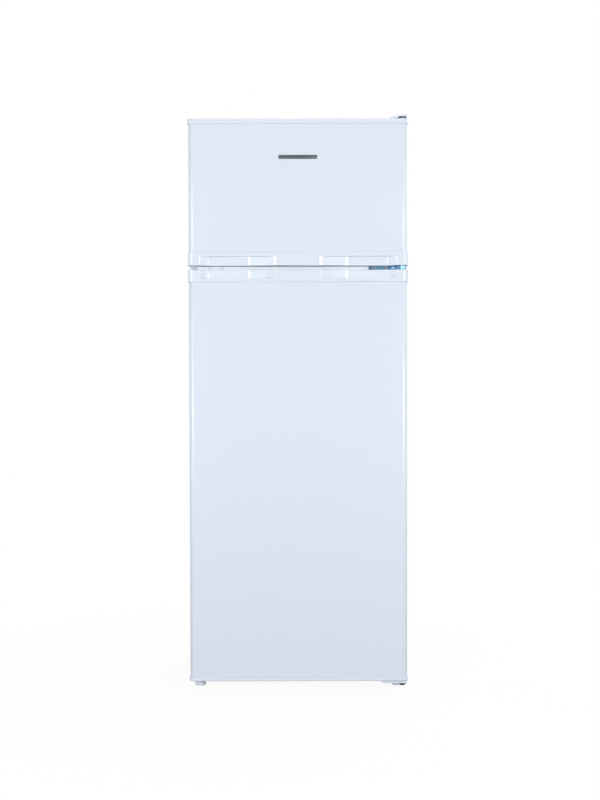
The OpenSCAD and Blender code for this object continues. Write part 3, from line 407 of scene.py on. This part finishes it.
def finish_piece(
    piece: bpy.types.Object, look: Finish, body: str, nodes: Sequence[str] = ()
) -> bpy.types.Object:
    """Give a new piece its material and its body, and hide the CAD nodes that it stands for.

    Args:
        piece: The new object, in place.
        look: Its finish.
        body: The CAD body that it moves with.
        nodes: The CAD nodes that it replaces.

    Returns:
        The same object.
    """
    piece.data.materials.clear()
    piece.data.materials.append(look.material())
    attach(piece, body)
    if nodes:
        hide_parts(*nodes)
    LOG.info("%s: %s, on %s", piece.name, look.name, body)
    return piece


def sharpen(mesh: bpy.types.Mesh, angle_deg: float) -> None:
    """Shade a mesh smooth, with a hard edge wherever two faces meet at more than an angle."""
    work = bmesh.new()
    work.from_mesh(mesh)
    bmesh.ops.remove_doubles(work, verts=work.verts, dist=1e-6)
    bmesh.ops.recalc_face_normals(work, faces=work.faces)
    for face in work.faces:
        face.smooth = True
    for edge in work.edges:
        edge.smooth = edge.calc_face_angle(0.0) < math.radians(angle_deg)
    work.to_mesh(mesh)
    work.free()


def loft(
    name: str, rings: Sequence[Ring], capped: bool = True, joined: bool = False, angle: float = 38
) -> bpy.types.Object:
    """Stretch a skin over a row of closed rings.

    Args:
        name: The new object's name.
        rings: Rings with the same number of points.
        capped: Whether the first and last rings are filled.
        joined: Whether the last ring joins the first, as round a frame.
        angle: Angle between faces, in degrees, over which an edge is hard.

    Returns:
        The new object.
    """
    work = bmesh.new()
    rows = [[work.verts.new(p) for p in ring] for ring in rings]
    pairs = list(zip(rows, rows[1:])) + ([(rows[-1], rows[0])] if joined else [])
    for low, high in pairs:
        for i in range(len(low)):
            j = (i + 1) % len(low)
            work.faces.new((low[i], low[j], high[j], high[i]))
    if capped and not joined:
        work.faces.new(rows[0])
        work.faces.new(rows[-1])
    mesh = bpy.data.meshes.new(name)
    work.to_mesh(mesh)
    work.free()
    sharpen(mesh, angle)
    piece = bpy.data.objects.new(name, mesh)
    bpy.context.scene.collection.objects.link(piece)
    return piece


def arc(centre: tuple[float, float], radius: float, start: float, end: float, steps: int) -> Plan:
    """Return points along an arc, with its angles in degrees."""
    angles = [math.radians(start + (end - start) * i / steps) for i in range(steps + 1)]
    return [(centre[0] + radius * math.cos(a), centre[1] + radius * math.sin(a)) for a in angles]


def door_plan(
    half_width: float, front: float, back: float, radius: float, back_radius: float = 1.5 * MM
) -> Plan:
    """Return a door's outline in X and Y, with rolled front corners.

    Args:
        half_width: Half of the door's width.
        front: The front face's Y.
        back: The back face's Y.
        radius: Radius of the front corners.
        back_radius: Radius of the back corners.

    Returns:
        The outline's points.
    """
    r = radius
    b = back_radius
    return [
        *arc((half_width - b, back - b), b, 90, 0, 3),
        *arc((half_width - r, front + r), r, 0, -90, 12),
        *arc((-half_width + r, front + r), r, -90, -180, 12),
        *arc((-half_width + b, back - b), b, 180, 90, 3),
    ]


def rounded_rectangle(
    low: tuple[float, float], high: tuple[float, float], radius: float, steps: int = 6
) -> Plan:
    """Return a rectangle's outline with rounded corners.

    Args:
        low: Its lowest corner.
        high: Its highest corner.
        radius: Radius of the corners.
        steps: Steps in each corner.

    Returns:
        The outline's points.
    """
    r = radius
    return [
        *arc((high[0] - r, high[1] - r), r, 0, 90, steps),
        *arc((low[0] + r, high[1] - r), r, 90, 180, steps),
        *arc((low[0] + r, low[1] + r), r, 180, 270, steps),
        *arc((high[0] - r, low[1] + r), r, 270, 360, steps),
    ]


def smooth_step(t: float) -> float:
    """Return 0 below 0, 1 above 1 and an even S curve between them."""
    t = min(max(t, 0.0), 1.0)
    return t * t * (3 - 2 * t)


class Edge(Enum):
    """How far the edges of a CAD node are softened, in metres."""

    SHEET = 0.0004
    TIGHT = 0.0006
    MOULDED = 0.0012
    SOFT = 0.0025


def carry(node: str, look: Finish, edge: Edge | None = None) -> bpy.types.Object:
    """Dress a CAD node as it stands, with softened edges.

    Args:
        node: The CAD node's name.
        look: Its finish.
        edge: How far its edges are softened, or None to leave them as they are.

    Returns:
        The CAD node's object.
    """
    piece = frame["nodes"][node]
    piece.data.materials.clear()
    piece.data.materials.append(look.material())
    if edge:
        weld = piece.modifiers.new("weld", "WELD")
        weld.merge_threshold = 1e-5
        bevel = piece.modifiers.new("soft_edges", "BEVEL")
        bevel.width = edge.value
        bevel.segments = 3
        bevel.limit_method = "ANGLE"
        bevel.angle_limit = math.radians(38)
        bevel.harden_normals = False
        even = piece.modifiers.new("even_shading", "WEIGHTED_NORMAL")
        even.keep_sharp = False
        even.weight = 80
    LOG.info("%s: %s, as its CAD node", node, look.name)
    return piece


# ---------------------------------------------------------------- doors


def rolled_levels(bottom: float, top: float, lower: float, upper: float, steps: int = 6) -> Plan:
    """Return heights and insets that round the lower and the upper edge of an upright moulding.

    Args:
        bottom: Height of the lowest point.
        top: Height of the highest point.
        lower: Radius of the lower edge.
        upper: Radius of the upper edge.
        steps: Steps in each rounding.

    Returns:
        Pairs of a height and how far the outline is drawn in there, from the bottom up.
    """
    turns = [math.radians(90 * i / steps) for i in range(steps + 1)]
    low = [(bottom + lower * (1 - math.cos(a)), lower * (1 - math.sin(a))) for a in turns]
    high = [(top - upper * (1 - math.sin(a)), upper * (1 - math.cos(a))) for a in turns]
    return low + high


@dataclass
class DoorSkin:
    """A door's bent sheet between its two plastic trims."""

    node: str
    body: str
    corner: float = 12 * MM
    edge_roll: float = 0.8 * MM

    def build(self) -> bpy.types.Object:
        """Build the sheet, rolled over at both ends."""
        low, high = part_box(self.node)
        rings = [
            [(x, y, z) for x, y in door_plan(high.x - inset, low.y + inset, high.y, self.corner - inset)]
            for z, inset in rolled_levels(low.z, high.z, self.edge_roll, self.edge_roll, 3)
        ]
        skin = loft(self.node + "_skin", rings)
        return finish_piece(skin, POWDER_COAT, self.body, [self.node])


@dataclass
class EndCap:
    """The plastic cap over the end of a door."""

    node: str
    body: str
    rounded_top: bool
    corner: float = 12 * MM
    big_round: float = 3.0 * MM
    small_round: float = 0.6 * MM
    clear: float = 0.1 * MM

    def build(self) -> bpy.types.Object:
        """Build the cap, with its outer edge rounded more than the edge at the seam."""
        low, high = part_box(self.node)
        upper = self.big_round if self.rounded_top else self.small_round
        lower = self.small_round if self.rounded_top else self.big_round
        rings = [
            [(x, y, z) for x, y in door_plan(high.x - inset, low.y + inset, high.y, self.corner - inset)]
            for z, inset in rolled_levels(low.z + self.clear, high.z - self.clear, lower, upper)
        ]
        cap = loft(self.node + "_moulding", rings)
        return finish_piece(cap, MOULDED_ABS, self.body, [self.node])


@dataclass
class HandleTrim:
    """The moulding along a door's edge that has a finger scoop on each side.

    Attributes:
        node: The CAD node that it stands for.
        body: The door that it moves with.
        opens_up: Whether the scoops open at the top edge.
        height: How far the scoops reach from the open edge.
        end_curve: Height of the rounding between the face and a scoop's closed end.
        scoop: The scoop's depth at distances from the middle of the door, with straight runs between.
        narrow: Distances between which the scoop's inner end grows to its full height.
        blend: How far each bend in the scoop is rounded, either way.
        coarse: Greatest distance between two cross-sections.
        fine: Distance between cross-sections near a bend.
    """

    node: str
    body: str
    opens_up: bool
    height: float
    end_curve: float
    scoop: Plan = field(
        default_factory=lambda: [
            (42 * MM, 0.0), (54.5 * MM, 0.5 * MM), (58.5 * MM, 2.0 * MM), (120 * MM, 10.6 * MM),
            (124 * MM, 12.2 * MM), (222 * MM, 12.6 * MM), (244 * MM, 0.0),
        ]
    )  # fmt: skip
    narrow: tuple[float, float] = (42 * MM, 56 * MM)
    blend: float = 1.4 * MM
    corner: float = 12 * MM
    edge: float = 1.6 * MM
    clear: float = 0.1 * MM
    coarse: float = 6 * MM
    fine: float = 0.7 * MM

    def run(self, x: float) -> float:
        """Return the scoop's depth at a distance from the middle, before its bends are rounded."""
        for (x0, d0), (x1, d1) in zip(self.scoop, self.scoop[1:]):
            if x0 <= x <= x1:
                return d0 + (d1 - d0) * (x - x0) / (x1 - x0)
        return 0.0

    def depth_at(self, x: float) -> float:
        """Return how deep the scoop is at x, with its bends rounded."""
        samples = 9
        shifts = [self.blend * (2 * k / (samples - 1) - 1) for k in range(samples)]
        return sum(self.run(abs(x) + shift) for shift in shifts) / samples

    def reach_at(self, x: float) -> float:
        """Return how far the scoop reaches from the open edge at x."""
        start, end = self.narrow
        return self.height * (0.78 + 0.22 * smooth_step((abs(x) - start) / (end - start)))

    def section(self, x: float, front: float, back: float, size: float) -> Plan:
        """Return the cross-section at x as depth and distance from the open edge."""
        half_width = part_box(self.node)[1].x
        beyond = max(abs(x) - (half_width - self.corner), 0.0)
        face = front + self.corner - math.sqrt(max(self.corner**2 - beyond**2, 0.0))
        depth = self.depth_at(x)
        reach = self.reach_at(x)
        floor = face + depth
        points = arc((face + self.edge, size - self.edge), self.edge, 90, 180, 5)
        points.append((face, (size + reach) / 2))
        if self.opens_up:
            turns = [i / 10 for i in range(11)]
            points += [(face + depth * smooth_step(t), reach - self.end_curve * t) for t in turns]
        else:
            points += self.overhang(face, depth, reach)
        points.append((floor, self.edge * 1.2))
        points += [(floor + self.edge - u, self.edge - v) for u, v in arc((0.0, 0.0), self.edge, 0, 90, 4)]
        points += [((floor + back) / 2, 0.0), (back, 0.0), (back, size)]
        return points

    def overhang(self, face: float, depth: float, reach: float) -> Plan:
        """Return the underside of the closed end: a rounded lip, a flat and a rounded inner corner."""
        lip = min(self.end_curve, depth * 0.4)
        inner = min(2.0 * MM, depth * 0.4)
        turns = [math.radians(18 * i) for i in range(6)]
        rim = [(face + lip * (1 - math.cos(a)), reach - lip * math.sin(a)) for a in turns]
        top = reach - lip
        end = face + depth
        corner = [(end - inner * (1 - math.sin(a)), top - inner * (1 - math.cos(a))) for a in turns]
        return rim + corner

    def stations(self, half_width: float) -> list[float]:
        """Return where cross-sections are taken: close together near bends and round the door's corners."""
        flat = half_width - self.corner
        places = {0.0, flat}
        places |= {flat * i / round(flat / self.coarse) for i in range(1, round(flat / self.coarse))}
        for bend, _ in self.scoop:
            places |= {bend + self.fine * k for k in range(-5, 6)}
        half = sorted(p for p in places if p <= flat)
        kept = [half[0]] + [b for a, b in zip(half, half[1:]) if b - a > 0.3 * self.fine]
        kept += [half_width - self.corner * (1 - math.sin(math.radians(7.5 * i))) for i in range(1, 13)]
        return [-p for p in reversed(kept[1:])] + kept

    def build(self) -> bpy.types.Object:
        """Build the trim as a skin over its cross-sections."""
        low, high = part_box(self.node)
        size = high.z - low.z - 2 * self.clear
        base = high.z - self.clear if self.opens_up else low.z + self.clear
        sign = -1 if self.opens_up else 1
        rings = [
            [(x, y, base + sign * v) for y, v in self.section(x, low.y, high.y, size)]
            for x in self.stations(high.x)
        ]
        trim = loft(self.node + "_moulding", rings, angle=50)
        return finish_piece(trim, MOULDED_ABS, self.body, [self.node])


@dataclass
class Gasket:
    """The magnetic seal round a door: a bellows with a pad that holds the magnet."""

    node: str
    body: str
    width: float = 16 * MM
    corner: float = 8 * MM

    def profile(self, thick: float) -> Plan:
        """Return the seal's cross-section as distance inwards and distance from the door."""
        w = self.width
        return [
            (1.0 * MM, 0.0), (w - 1.0 * MM, 0.0), (w, 0.15 * thick), (w - 3.2 * MM, 0.34 * thick),
            (w - 0.6 * MM, 0.5 * thick), (w - 2.6 * MM, 0.62 * thick), (w - 0.4 * MM, 0.74 * thick),
            (w - 0.4 * MM, 0.94 * thick), (w - 1.4 * MM, thick), (2.0 * MM, thick),
            (1.0 * MM, 0.94 * thick), (1.0 * MM, 0.74 * thick), (3.2 * MM, 0.62 * thick),
            (1.2 * MM, 0.5 * thick), (3.8 * MM, 0.34 * thick), (0.0, 0.15 * thick),
        ]  # fmt: skip

    def build(self) -> bpy.types.Object:
        """Sweep the cross-section round the door."""
        low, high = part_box(self.node)
        rings = []
        count = len(self.profile(1.0))
        outlines = []
        for inwards, rise in self.profile(high.y - low.y):
            radius = max(self.corner - inwards * 0.4, 1 * MM)
            start = (low.x + inwards, low.z + inwards)
            outline = rounded_rectangle(start, (high.x - inwards, high.z - inwards), radius)
            outlines.append([(x, low.y + rise, z) for x, z in outline])
        for i in range(len(outlines[0])):
            rings.append([outlines[k][i] for k in range(count)])
        seal = loft(self.node + "_bellows", rings, joined=True, angle=60)
        return finish_piece(seal, EXTRUDED_VINYL, self.body, [self.node])


@dataclass
class NamePlate:
    """The plain metal plate on the freezer door."""

    node: str = "door_badge"
    body: str = "freezer_door"
    corner: float = 1.6 * MM
    bevel: float = 0.5 * MM

    def build(self) -> bpy.types.Object:
        """Build the plate with its bevelled edge."""
        low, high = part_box(self.node)
        rings = []
        first = self.bevel * 0.3
        levels = ((high.y, 0.0), (low.y + self.bevel, 0.0), (low.y + first, first), (low.y, self.bevel))
        for y, inset in levels:
            start = (low.x + inset, low.z + inset)
            outline = rounded_rectangle(start, (high.x - inset, high.z - inset), self.corner)
            rings.append([(x, y, z) for x, z in outline])
        plate = loft("door_name_plate", rings, angle=60)
        return finish_piece(plate, BRUSHED_ALUMINIUM, self.body, [self.node])


@dataclass
class Doors:
    """Both doors, with everything that swings with them."""

    names: tuple[str, str] = ("freezer_door", "fridge_door")

    def build(self) -> None:
        """Build both doors."""
        for name in self.names:
            DoorSkin(name + "_panel", name).build()
            Gasket(name + "_gasket", name).build()
            carry(name + "_foam", POLYURETHANE_FOAM)
            carry(name + "_liner", FORMED_POLYSTYRENE, Edge.SOFT)
            carry(name + "_racks", CRYSTAL_POLYSTYRENE, Edge.TIGHT)
            carry(name + "_bushes", NATURAL_ACETAL)
        EndCap("freezer_door_top_cap", "freezer_door", rounded_top=True).build()
        EndCap("fridge_door_bottom_cap", "fridge_door", rounded_top=False).build()
        upper, lower = (name + "_handle_trim" for name in self.names)
        HandleTrim(upper, "freezer_door", opens_up=False, height=23.5 * MM, end_curve=0.8 * MM).build()
        HandleTrim(lower, "fridge_door", opens_up=True, height=21 * MM, end_curve=1.2 * MM).build()
        NamePlate().build()


# ---------------------------------------------------------------- cabinet


@dataclass
class Cabinet:
    """The outer panels, the insulation, the liners and the rail between the doors."""

    painted: tuple[str, ...] = ("left_side_panel", "right_side_panel", "top_panel")
    galvanised: tuple[str, ...] = (
        "back_panel", "bottom_panel", "compressor_step_panel", "compressor_base_plate",
    )  # fmt: skip
    liners: tuple[str, ...] = ("freezer_liner", "fridge_liner")

    def build(self) -> None:
        """Dress the cabinet's own nodes."""
        for node in self.painted:
            carry(node, POWDER_COAT, Edge.SHEET)
        for node in self.galvanised:
            carry(node, GALVANISED_SHEET, Edge.SHEET)
        for node in self.liners:
            carry(node, FORMED_POLYSTYRENE, Edge.MOULDED)
        carry("insulation_foam", POLYURETHANE_FOAM)
        carry("evaporator_plates", ROLLED_ALUMINIUM, Edge.TIGHT)
        # The rail's white is painted light: it brightens the gap between the doors, where the rail lies in
        # shade.
        carry("centre_rail", RAIL_PVC_PAINTED_LIGHT, Edge.SHEET)


@dataclass
class Interior:
    """Shelves, crisper and controls."""

    def build(self) -> None:
        """Dress the pieces in the compartments."""
        carry("freezer_shelf", MOULDED_ABS)
        carry("glass_shelf_panes", FLOAT_GLASS, Edge.TIGHT)
        carry("glass_shelf_trims", MOULDED_ABS, Edge.TIGHT)
        carry("crisper_drawer", CRYSTAL_POLYSTYRENE, Edge.MOULDED)
        carry("control_housing", MOULDED_ABS, Edge.MOULDED)
        carry("thermostat_body", ROLLED_ALUMINIUM, Edge.TIGHT)
        carry("lamp_module", FORMED_POLYSTYRENE, Edge.SHEET)
        carry("lamp_lens", CRYSTAL_POLYSTYRENE, Edge.TIGHT)
        carry("thermostat_knob", MOULDED_ABS, Edge.TIGHT)
        carry("door_switch_plunger", NATURAL_ACETAL, Edge.TIGHT)
        carry("drain_spout", MOULDED_ABS, Edge.TIGHT)


@dataclass
class PaintedShadePinCap:
    """A black cap over the head of the bottom hinge's pin, which is not in the CAD part; its black is
    painted shade that darkens the spot under the door's corner.

    Attributes:
        joint: The hinge whose axis it stands on.
        bracket: The CAD node that holds the pin.
        top: Height of its upper face over the bracket's lowest point.
        levels: How far below that each ring lies, and its radius, in millimetres.
    """

    joint: str = "fridge_door_hinge"
    bracket: str = "bottom_hinge_bracket"
    top: float = 8 * MM
    levels: Plan = field(
        default_factory=lambda: [(0.2, 10.2), (4.8, 10.2), (5.2, 9.6), (5.2, 5.8), (8.2, 5.8), (8.6, 5.2)]
    )

    def build(self) -> bpy.types.Object:
        """Build the cap as a skin over round rings."""
        axis = next(joint for joint in frame["joints"] if joint["name"] == self.joint)["pos_m"]
        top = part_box(self.bracket)[0].z + self.top
        rings = []
        for drop, radius in self.levels:
            ring = arc((axis[0], axis[1]), radius * MM, 0, 345, 23)
            rings.append([(x, y, top - drop * MM) for x, y in ring])
        cap = loft("bottom_hinge_pin_cap_painted_shade", rings)
        return finish_piece(cap, BLACK_POLYPROPYLENE, "cabinet")


@dataclass
class Hardware:
    """Hinges, brackets, screws, plugs and feet."""

    plated: tuple[str, ...] = ("middle_hinge_bracket", "left_foot_bracket")
    bright: tuple[str, ...] = ("top_hinge_bracket", "hinge_screws")

    def build(self) -> None:
        """Dress the hardware."""
        for node in self.plated:
            carry(node, ZINC_PLATE, Edge.SHEET)
        for node in self.bright:
            carry(node, BRIGHT_ZINC, Edge.SHEET)
        carry("bottom_hinge_bracket", POWDER_COAT, Edge.SHEET)
        carry("top_hinge_cover", MOULDED_ABS, Edge.MOULDED)
        carry("hinge_hole_plugs", MOULDED_ABS, Edge.TIGHT)
        for side in ("left", "right"):
            carry(side + "_levelling_foot", MOULDED_ABS, Edge.TIGHT)
        carry("rear_feet", BLACK_POLYPROPYLENE, Edge.MOULDED)
        # The black pin cap is painted shade: a dark piece under the door's corner, where the bracket's end
        # lies in shade.
        PaintedShadePinCap().build()


# ---------------------------------------------------------------- cooling system


@dataclass
class Compressor:
    """The sealed shell: two pressed halves, welded round the middle.

    Attributes:
        node: The CAD node that it stands for.
        body: The body that it moves with.
        half_gap: How far each round end's centre is from the middle.
        radius: The round ends' radius.
        seam_height: Where the weld is, as a share of the height.
        bead: How far the weld stands out.
        base_curve: Share of the height over which the lower half narrows.
        dome_curve: Share of the height over which the upper half closes.
        shell_lift: Height of the shell's lowest point over the legs' underside.
        leg_half_length: Half of a leg's length.
        leg_inner: Distance from the middle to a leg's inner edge.
        leg_outer: Distance from the middle to a leg's outer edge.
        leg_thick: Thickness of a leg.
        leg_edge: How far a leg's edges are broken.
        leg_corner: Radius of a leg's corners.
    """

    node: str = "compressor_shell"
    body: str = "cabinet"
    half_gap: float = 22 * MM
    radius: float = 57 * MM
    seam_height: float = 0.5
    bead: float = 1.6 * MM
    base_curve: float = 0.2
    dome_curve: float = 0.38
    shell_lift: float = 3 * MM
    leg_half_length: float = 58 * MM
    leg_inner: float = 50 * MM
    leg_outer: float = 83 * MM
    leg_thick: float = 2.5 * MM
    leg_edge: float = 0.4 * MM
    leg_corner: float = 9 * MM

    def level(self, t: float) -> float:
        """Return the shell's radius at a height between 0 and 1, with the weld left out."""
        lower = 1 - max((self.base_curve - t) / self.base_curve, 0.0) ** 2.4 * 0.3
        upper = math.sqrt(max(1 - max((t - 1 + self.dome_curve) / self.dome_curve, 0.0) ** 2.3, 0.0))
        return self.radius * min(lower, 1.0) * max(upper, 0.02)

    def build(self) -> None:
        """Build the shell as a skin over stadium-shaped rings, and its two legs."""
        low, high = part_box(self.node)
        middle = Vector(((low.x + high.x) / 2, (low.y + high.y) / 2))
        bottom = low.z + self.shell_lift
        height = high.z - bottom
        levels = [i / 40 for i in range(41)]
        rings = []
        for t in levels:
            weld = self.bead * math.exp(-(((t - self.seam_height) / 0.018) ** 2))
            radius = self.level(t) + weld
            ring = arc((middle.x + self.half_gap, middle.y), radius, -90, 90, 20)
            ring += arc((middle.x - self.half_gap, middle.y), radius, 90, 270, 20)
            rings.append([(x, y, bottom + height * t) for x, y in ring])
        shell = loft("compressor_pressed_shell", rings, angle=50)
        finish_piece(shell, BLACK_ENAMEL, self.body, [self.node])
        for k, side in enumerate((-1, 1)):
            self.leg(f"compressor_leg_{k}", middle, side, low)

    def leg(self, name: str, middle: Vector, side: int, low: Vector) -> None:
        """Build one pressed leg.

        Args:
            name: The piece's name.
            middle: The shell's middle in X and Y.
            side: -1 for the left leg and 1 for the right one.
            low: The shell's lowest corner.
        """
        edge = self.leg_edge
        thick = self.leg_thick
        x0, x1 = sorted((middle.x + side * self.leg_inner, middle.x + side * self.leg_outer))
        rings = []
        for z, inset in ((0.0, edge), (edge, 0.0), (thick - edge, 0.0), (thick, edge)):
            reach = self.leg_half_length - inset
            outline = rounded_rectangle(
                (x0 + inset, middle.y - reach), (x1 - inset, middle.y + reach), self.leg_corner
            )
            rings.append([(x, y, low.z + z) for x, y in outline])
        leg = loft(name, rings)
        finish_piece(leg, BLACK_ENAMEL, self.body)


@dataclass
class CoolingSystem:
    """Compressor, pipes and condenser at the back."""

    def build(self) -> None:
        """Build the compressor and dress the rest."""
        Compressor().build()
        carry("compressor_mounts", MOULDED_RUBBER, Edge.TIGHT)
        carry("starter_relay_cover", BLACK_POLYPROPYLENE, Edge.MOULDED)
        carry("drip_tray", BLACK_POLYPROPYLENE, Edge.TIGHT)
        carry("filter_drier", DRAWN_COPPER)
        carry("refrigerant_pipes", DRAWN_COPPER)
        carry("condenser_tube", BLACK_ENAMEL)
        carry("condenser_wires", BLACK_ENAMEL)
        carry("condenser_brackets", BLACK_POLYPROPYLENE, Edge.TIGHT)
        carry("cord_gland", MOULDED_RUBBER, Edge.TIGHT)


# ---------------------------------------------------------------- studio


@dataclass(frozen=True)
class SoftBox:
    """One rectangular lamp.

    Attributes:
        name: What the lamp is for.
        place: Where its middle is.
        size: Its width and its height.
        watts: Its power.
        aim: The point that it faces.
    """

    name: str
    place: tuple[float, float, float]
    size: tuple[float, float]
    watts: float
    aim: tuple[float, float, float] = (0.0, -0.27, 0.95)

    def hang(self) -> None:
        """Add the lamp to the scene."""
        light = bpy.data.lights.new(self.name, "AREA")
        light.shape = "RECTANGLE"
        light.size, light.size_y = self.size
        light.energy = self.watts
        lamp = bpy.data.objects.new(self.name, light)
        bpy.context.scene.collection.objects.link(lamp)
        lamp.location = self.place
        lamp.rotation_euler = (Vector(self.aim) - Vector(self.place)).to_track_quat("-Z", "Y").to_euler()


@dataclass
class Studio:
    """A plain white floor, soft light and the camera.

    Attributes:
        camera_distance: From the camera to the doors' front.
        camera_height: Height of the camera over the floor.
        camera_aside: How far the camera stands to the right of the middle.
        pitch_deg: How far the camera looks down.
        roll_deg: How far the camera is turned about its own view.
        seen_height: Height of what the camera sees at the doors' front.
        sensor: Height of the camera's sensor in millimetres.
        ambient: Light of the surround on the object, where 1 is as bright as it is seen.
        shadow: Share of the floor's paint that takes shadows, near the object.
        floor_rings: Radii of the floor's rings, from the outside in.
        fade: Distances from the middle between which the floor stops taking shadows.
        lamps: The lamps. Two bars stand at the height of the gap between the doors, beside the camera.
    """

    camera_distance: float = 3.5
    camera_height: float = 0.825
    camera_aside: float = 4.3 * MM
    pitch_deg: float = 1.64
    roll_deg: float = -0.12
    seen_height: float = 1.981
    sensor: float = 36.0
    ambient: float = 0.235
    shadow: float = 0.06
    floor_rings: tuple[float, ...] = (14.0, 2.0, 0.05)
    fade: tuple[float, float] = (0.35, 1.4)
    lamps: tuple[SoftBox, ...] = (
        SoftBox("left_strip", (-2.0, -2.3, 0.90), (0.10, 1.9), 12.5, (0.0, -0.27, 0.90)),
        SoftBox("right_strip", (2.0, -2.3, 0.90), (0.10, 1.9), 12.5, (0.0, -0.27, 0.90)),
        SoftBox("left_bar", (-2.25, -3.6, 0.96), (1.5, 0.18), 55, (0.0, -0.27, 0.96)),
        SoftBox("right_bar", (2.25, -3.6, 0.96), (1.5, 0.18), 56, (0.0, -0.27, 0.96)),
        SoftBox("overhead_softbox", (0.0, -2.4, 3.3), (2.0, 1.2), 8, (0.0, -0.27, 1.0)),
        SoftBox("left_side_softbox", (-3.4, 0.5, 1.1), (2.0, 2.0), 17, (0.0, 0.0, 0.8)),
        SoftBox("right_side_softbox", (3.4, 0.5, 1.1), (2.0, 2.0), 28, (0.0, 0.0, 0.8)),
        SoftBox("top_softbox", (0.0, 0.6, 3.6), (2.0, 2.0), 30, (0.0, 0.1, 1.4)),
        SoftBox("rear_softbox", (1.2, 3.4, 2.6), (2.6, 2.6), 100),
    )

    def floor(self) -> None:
        """Lay a round floor that is as white as the surround, and takes a faint shadow near the object."""
        hub = self.floor_rings[-1]
        rings = [[(x, y, 0.0) for x, y in arc((0, 0), r, 0, 357.5, 143)] for r in self.floor_rings]
        ground = loft("studio_floor", rings, capped=False)
        work = bmesh.new()
        work.from_mesh(ground.data)
        inner = [e for e in work.edges if e.is_boundary and e.verts[0].co.length < 2 * hub]
        bmesh.ops.holes_fill(work, edges=inner)
        bmesh.ops.recalc_face_normals(work, faces=work.faces)
        for face in work.faces:
            if face.normal.z < 0:
                face.normal_flip()
        work.to_mesh(ground.data)
        work.free()
        ground.data.materials.append(self.floor_paint())
        ground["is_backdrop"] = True

    def floor_paint(self) -> bpy.types.Material:
        """Make the floor's white paint."""
        paint = bpy.data.materials.new("studio_floor_paint")
        paint.use_nodes = True
        tree = paint.node_tree
        tree.nodes.clear()
        place = add_node(tree, "ShaderNodeTexCoord").outputs["Object"]
        away = add_node(
            tree, "ShaderNodeVectorMath", links={"Vector": place}, operation="LENGTH"
        ).outputs["Value"]
        fade = add_node(
            tree,
            "ShaderNodeMapRange",
            {
                "From Min": self.fade[0],
                "From Max": self.fade[1],
                "To Min": 1 - self.shadow,
                "To Max": 1.0,
            },
            {"Value": away},
            interpolation_type="SMOOTHSTEP",
        ).outputs["Result"]
        matt = add_node(tree, "ShaderNodeBsdfDiffuse", {"Color": linear("FAFAFA")}).outputs["BSDF"]
        glow = add_node(
            tree, "ShaderNodeEmission", {"Color": (1, 1, 1, 1)}, {"Strength": self.brightness(tree)}
        ).outputs["Emission"]
        mixed = add_node(tree, "ShaderNodeMixShader", links={"Fac": fade})
        tree.links.new(matt, mixed.inputs[1])
        tree.links.new(glow, mixed.inputs[2])
        add_node(tree, "ShaderNodeOutputMaterial", links={"Surface": mixed.outputs[0]})
        return paint

    def brightness(self, tree: bpy.types.NodeTree) -> bpy.types.NodeSocket:
        """Return a strength of 1 for what the camera sees, and of the ambient light for everything else."""
        seen = add_node(tree, "ShaderNodeLightPath").outputs["Is Camera Ray"]
        return add_node(
            tree, "ShaderNodeMapRange", {"To Min": self.ambient, "To Max": 1.0}, {"Value": seen}
        ).outputs["Result"]

    def world(self) -> None:
        """Make a white surround that lights the object less than it shows."""
        world = bpy.data.worlds.new("studio_surround")
        bpy.context.scene.world = world
        world.use_nodes = True
        tree = world.node_tree
        tree.nodes.clear()
        back = add_node(
            tree, "ShaderNodeBackground", {"Color": (1, 1, 1, 1)}, {"Strength": self.brightness(tree)}
        ).outputs["Background"]
        add_node(tree, "ShaderNodeOutputWorld", links={"Surface": back})

    def camera(self) -> None:
        """Place the camera a little above the middle of the doors, looking slightly down."""
        low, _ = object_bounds()
        data = bpy.data.cameras.new("camera")
        data.sensor_fit = "VERTICAL"
        data.sensor_height = self.sensor
        data.lens = self.sensor * self.camera_distance / self.seen_height
        camera = bpy.data.objects.new("camera", data)
        bpy.context.scene.collection.objects.link(camera)
        place = Matrix.Translation((self.camera_aside, low[1] - self.camera_distance, self.camera_height))
        tilt = Matrix.Rotation(math.radians(90 - self.pitch_deg), 4, "X")
        roll = Matrix.Rotation(math.radians(self.roll_deg), 4, "Z")
        camera.matrix_world = place @ tilt @ roll
        bpy.context.scene.camera = camera

    def build(self) -> None:
        """Build the studio."""
        self.camera()
        self.floor()
        self.world()
        for lamp in self.lamps:
            lamp.hang()
        bpy.context.scene.view_settings.view_transform = "Standard"


def main() -> None:
    """Build every sub-assembly in order."""
    logging.basicConfig(level=logging.INFO, format="%(name)s: %(message)s")
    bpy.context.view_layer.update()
    Studio().build()
    Cabinet().build()
    Interior().build()
    Hardware().build()
    CoolingSystem().build()
    Doors().build()


if __name__ == "__main__":
    main()
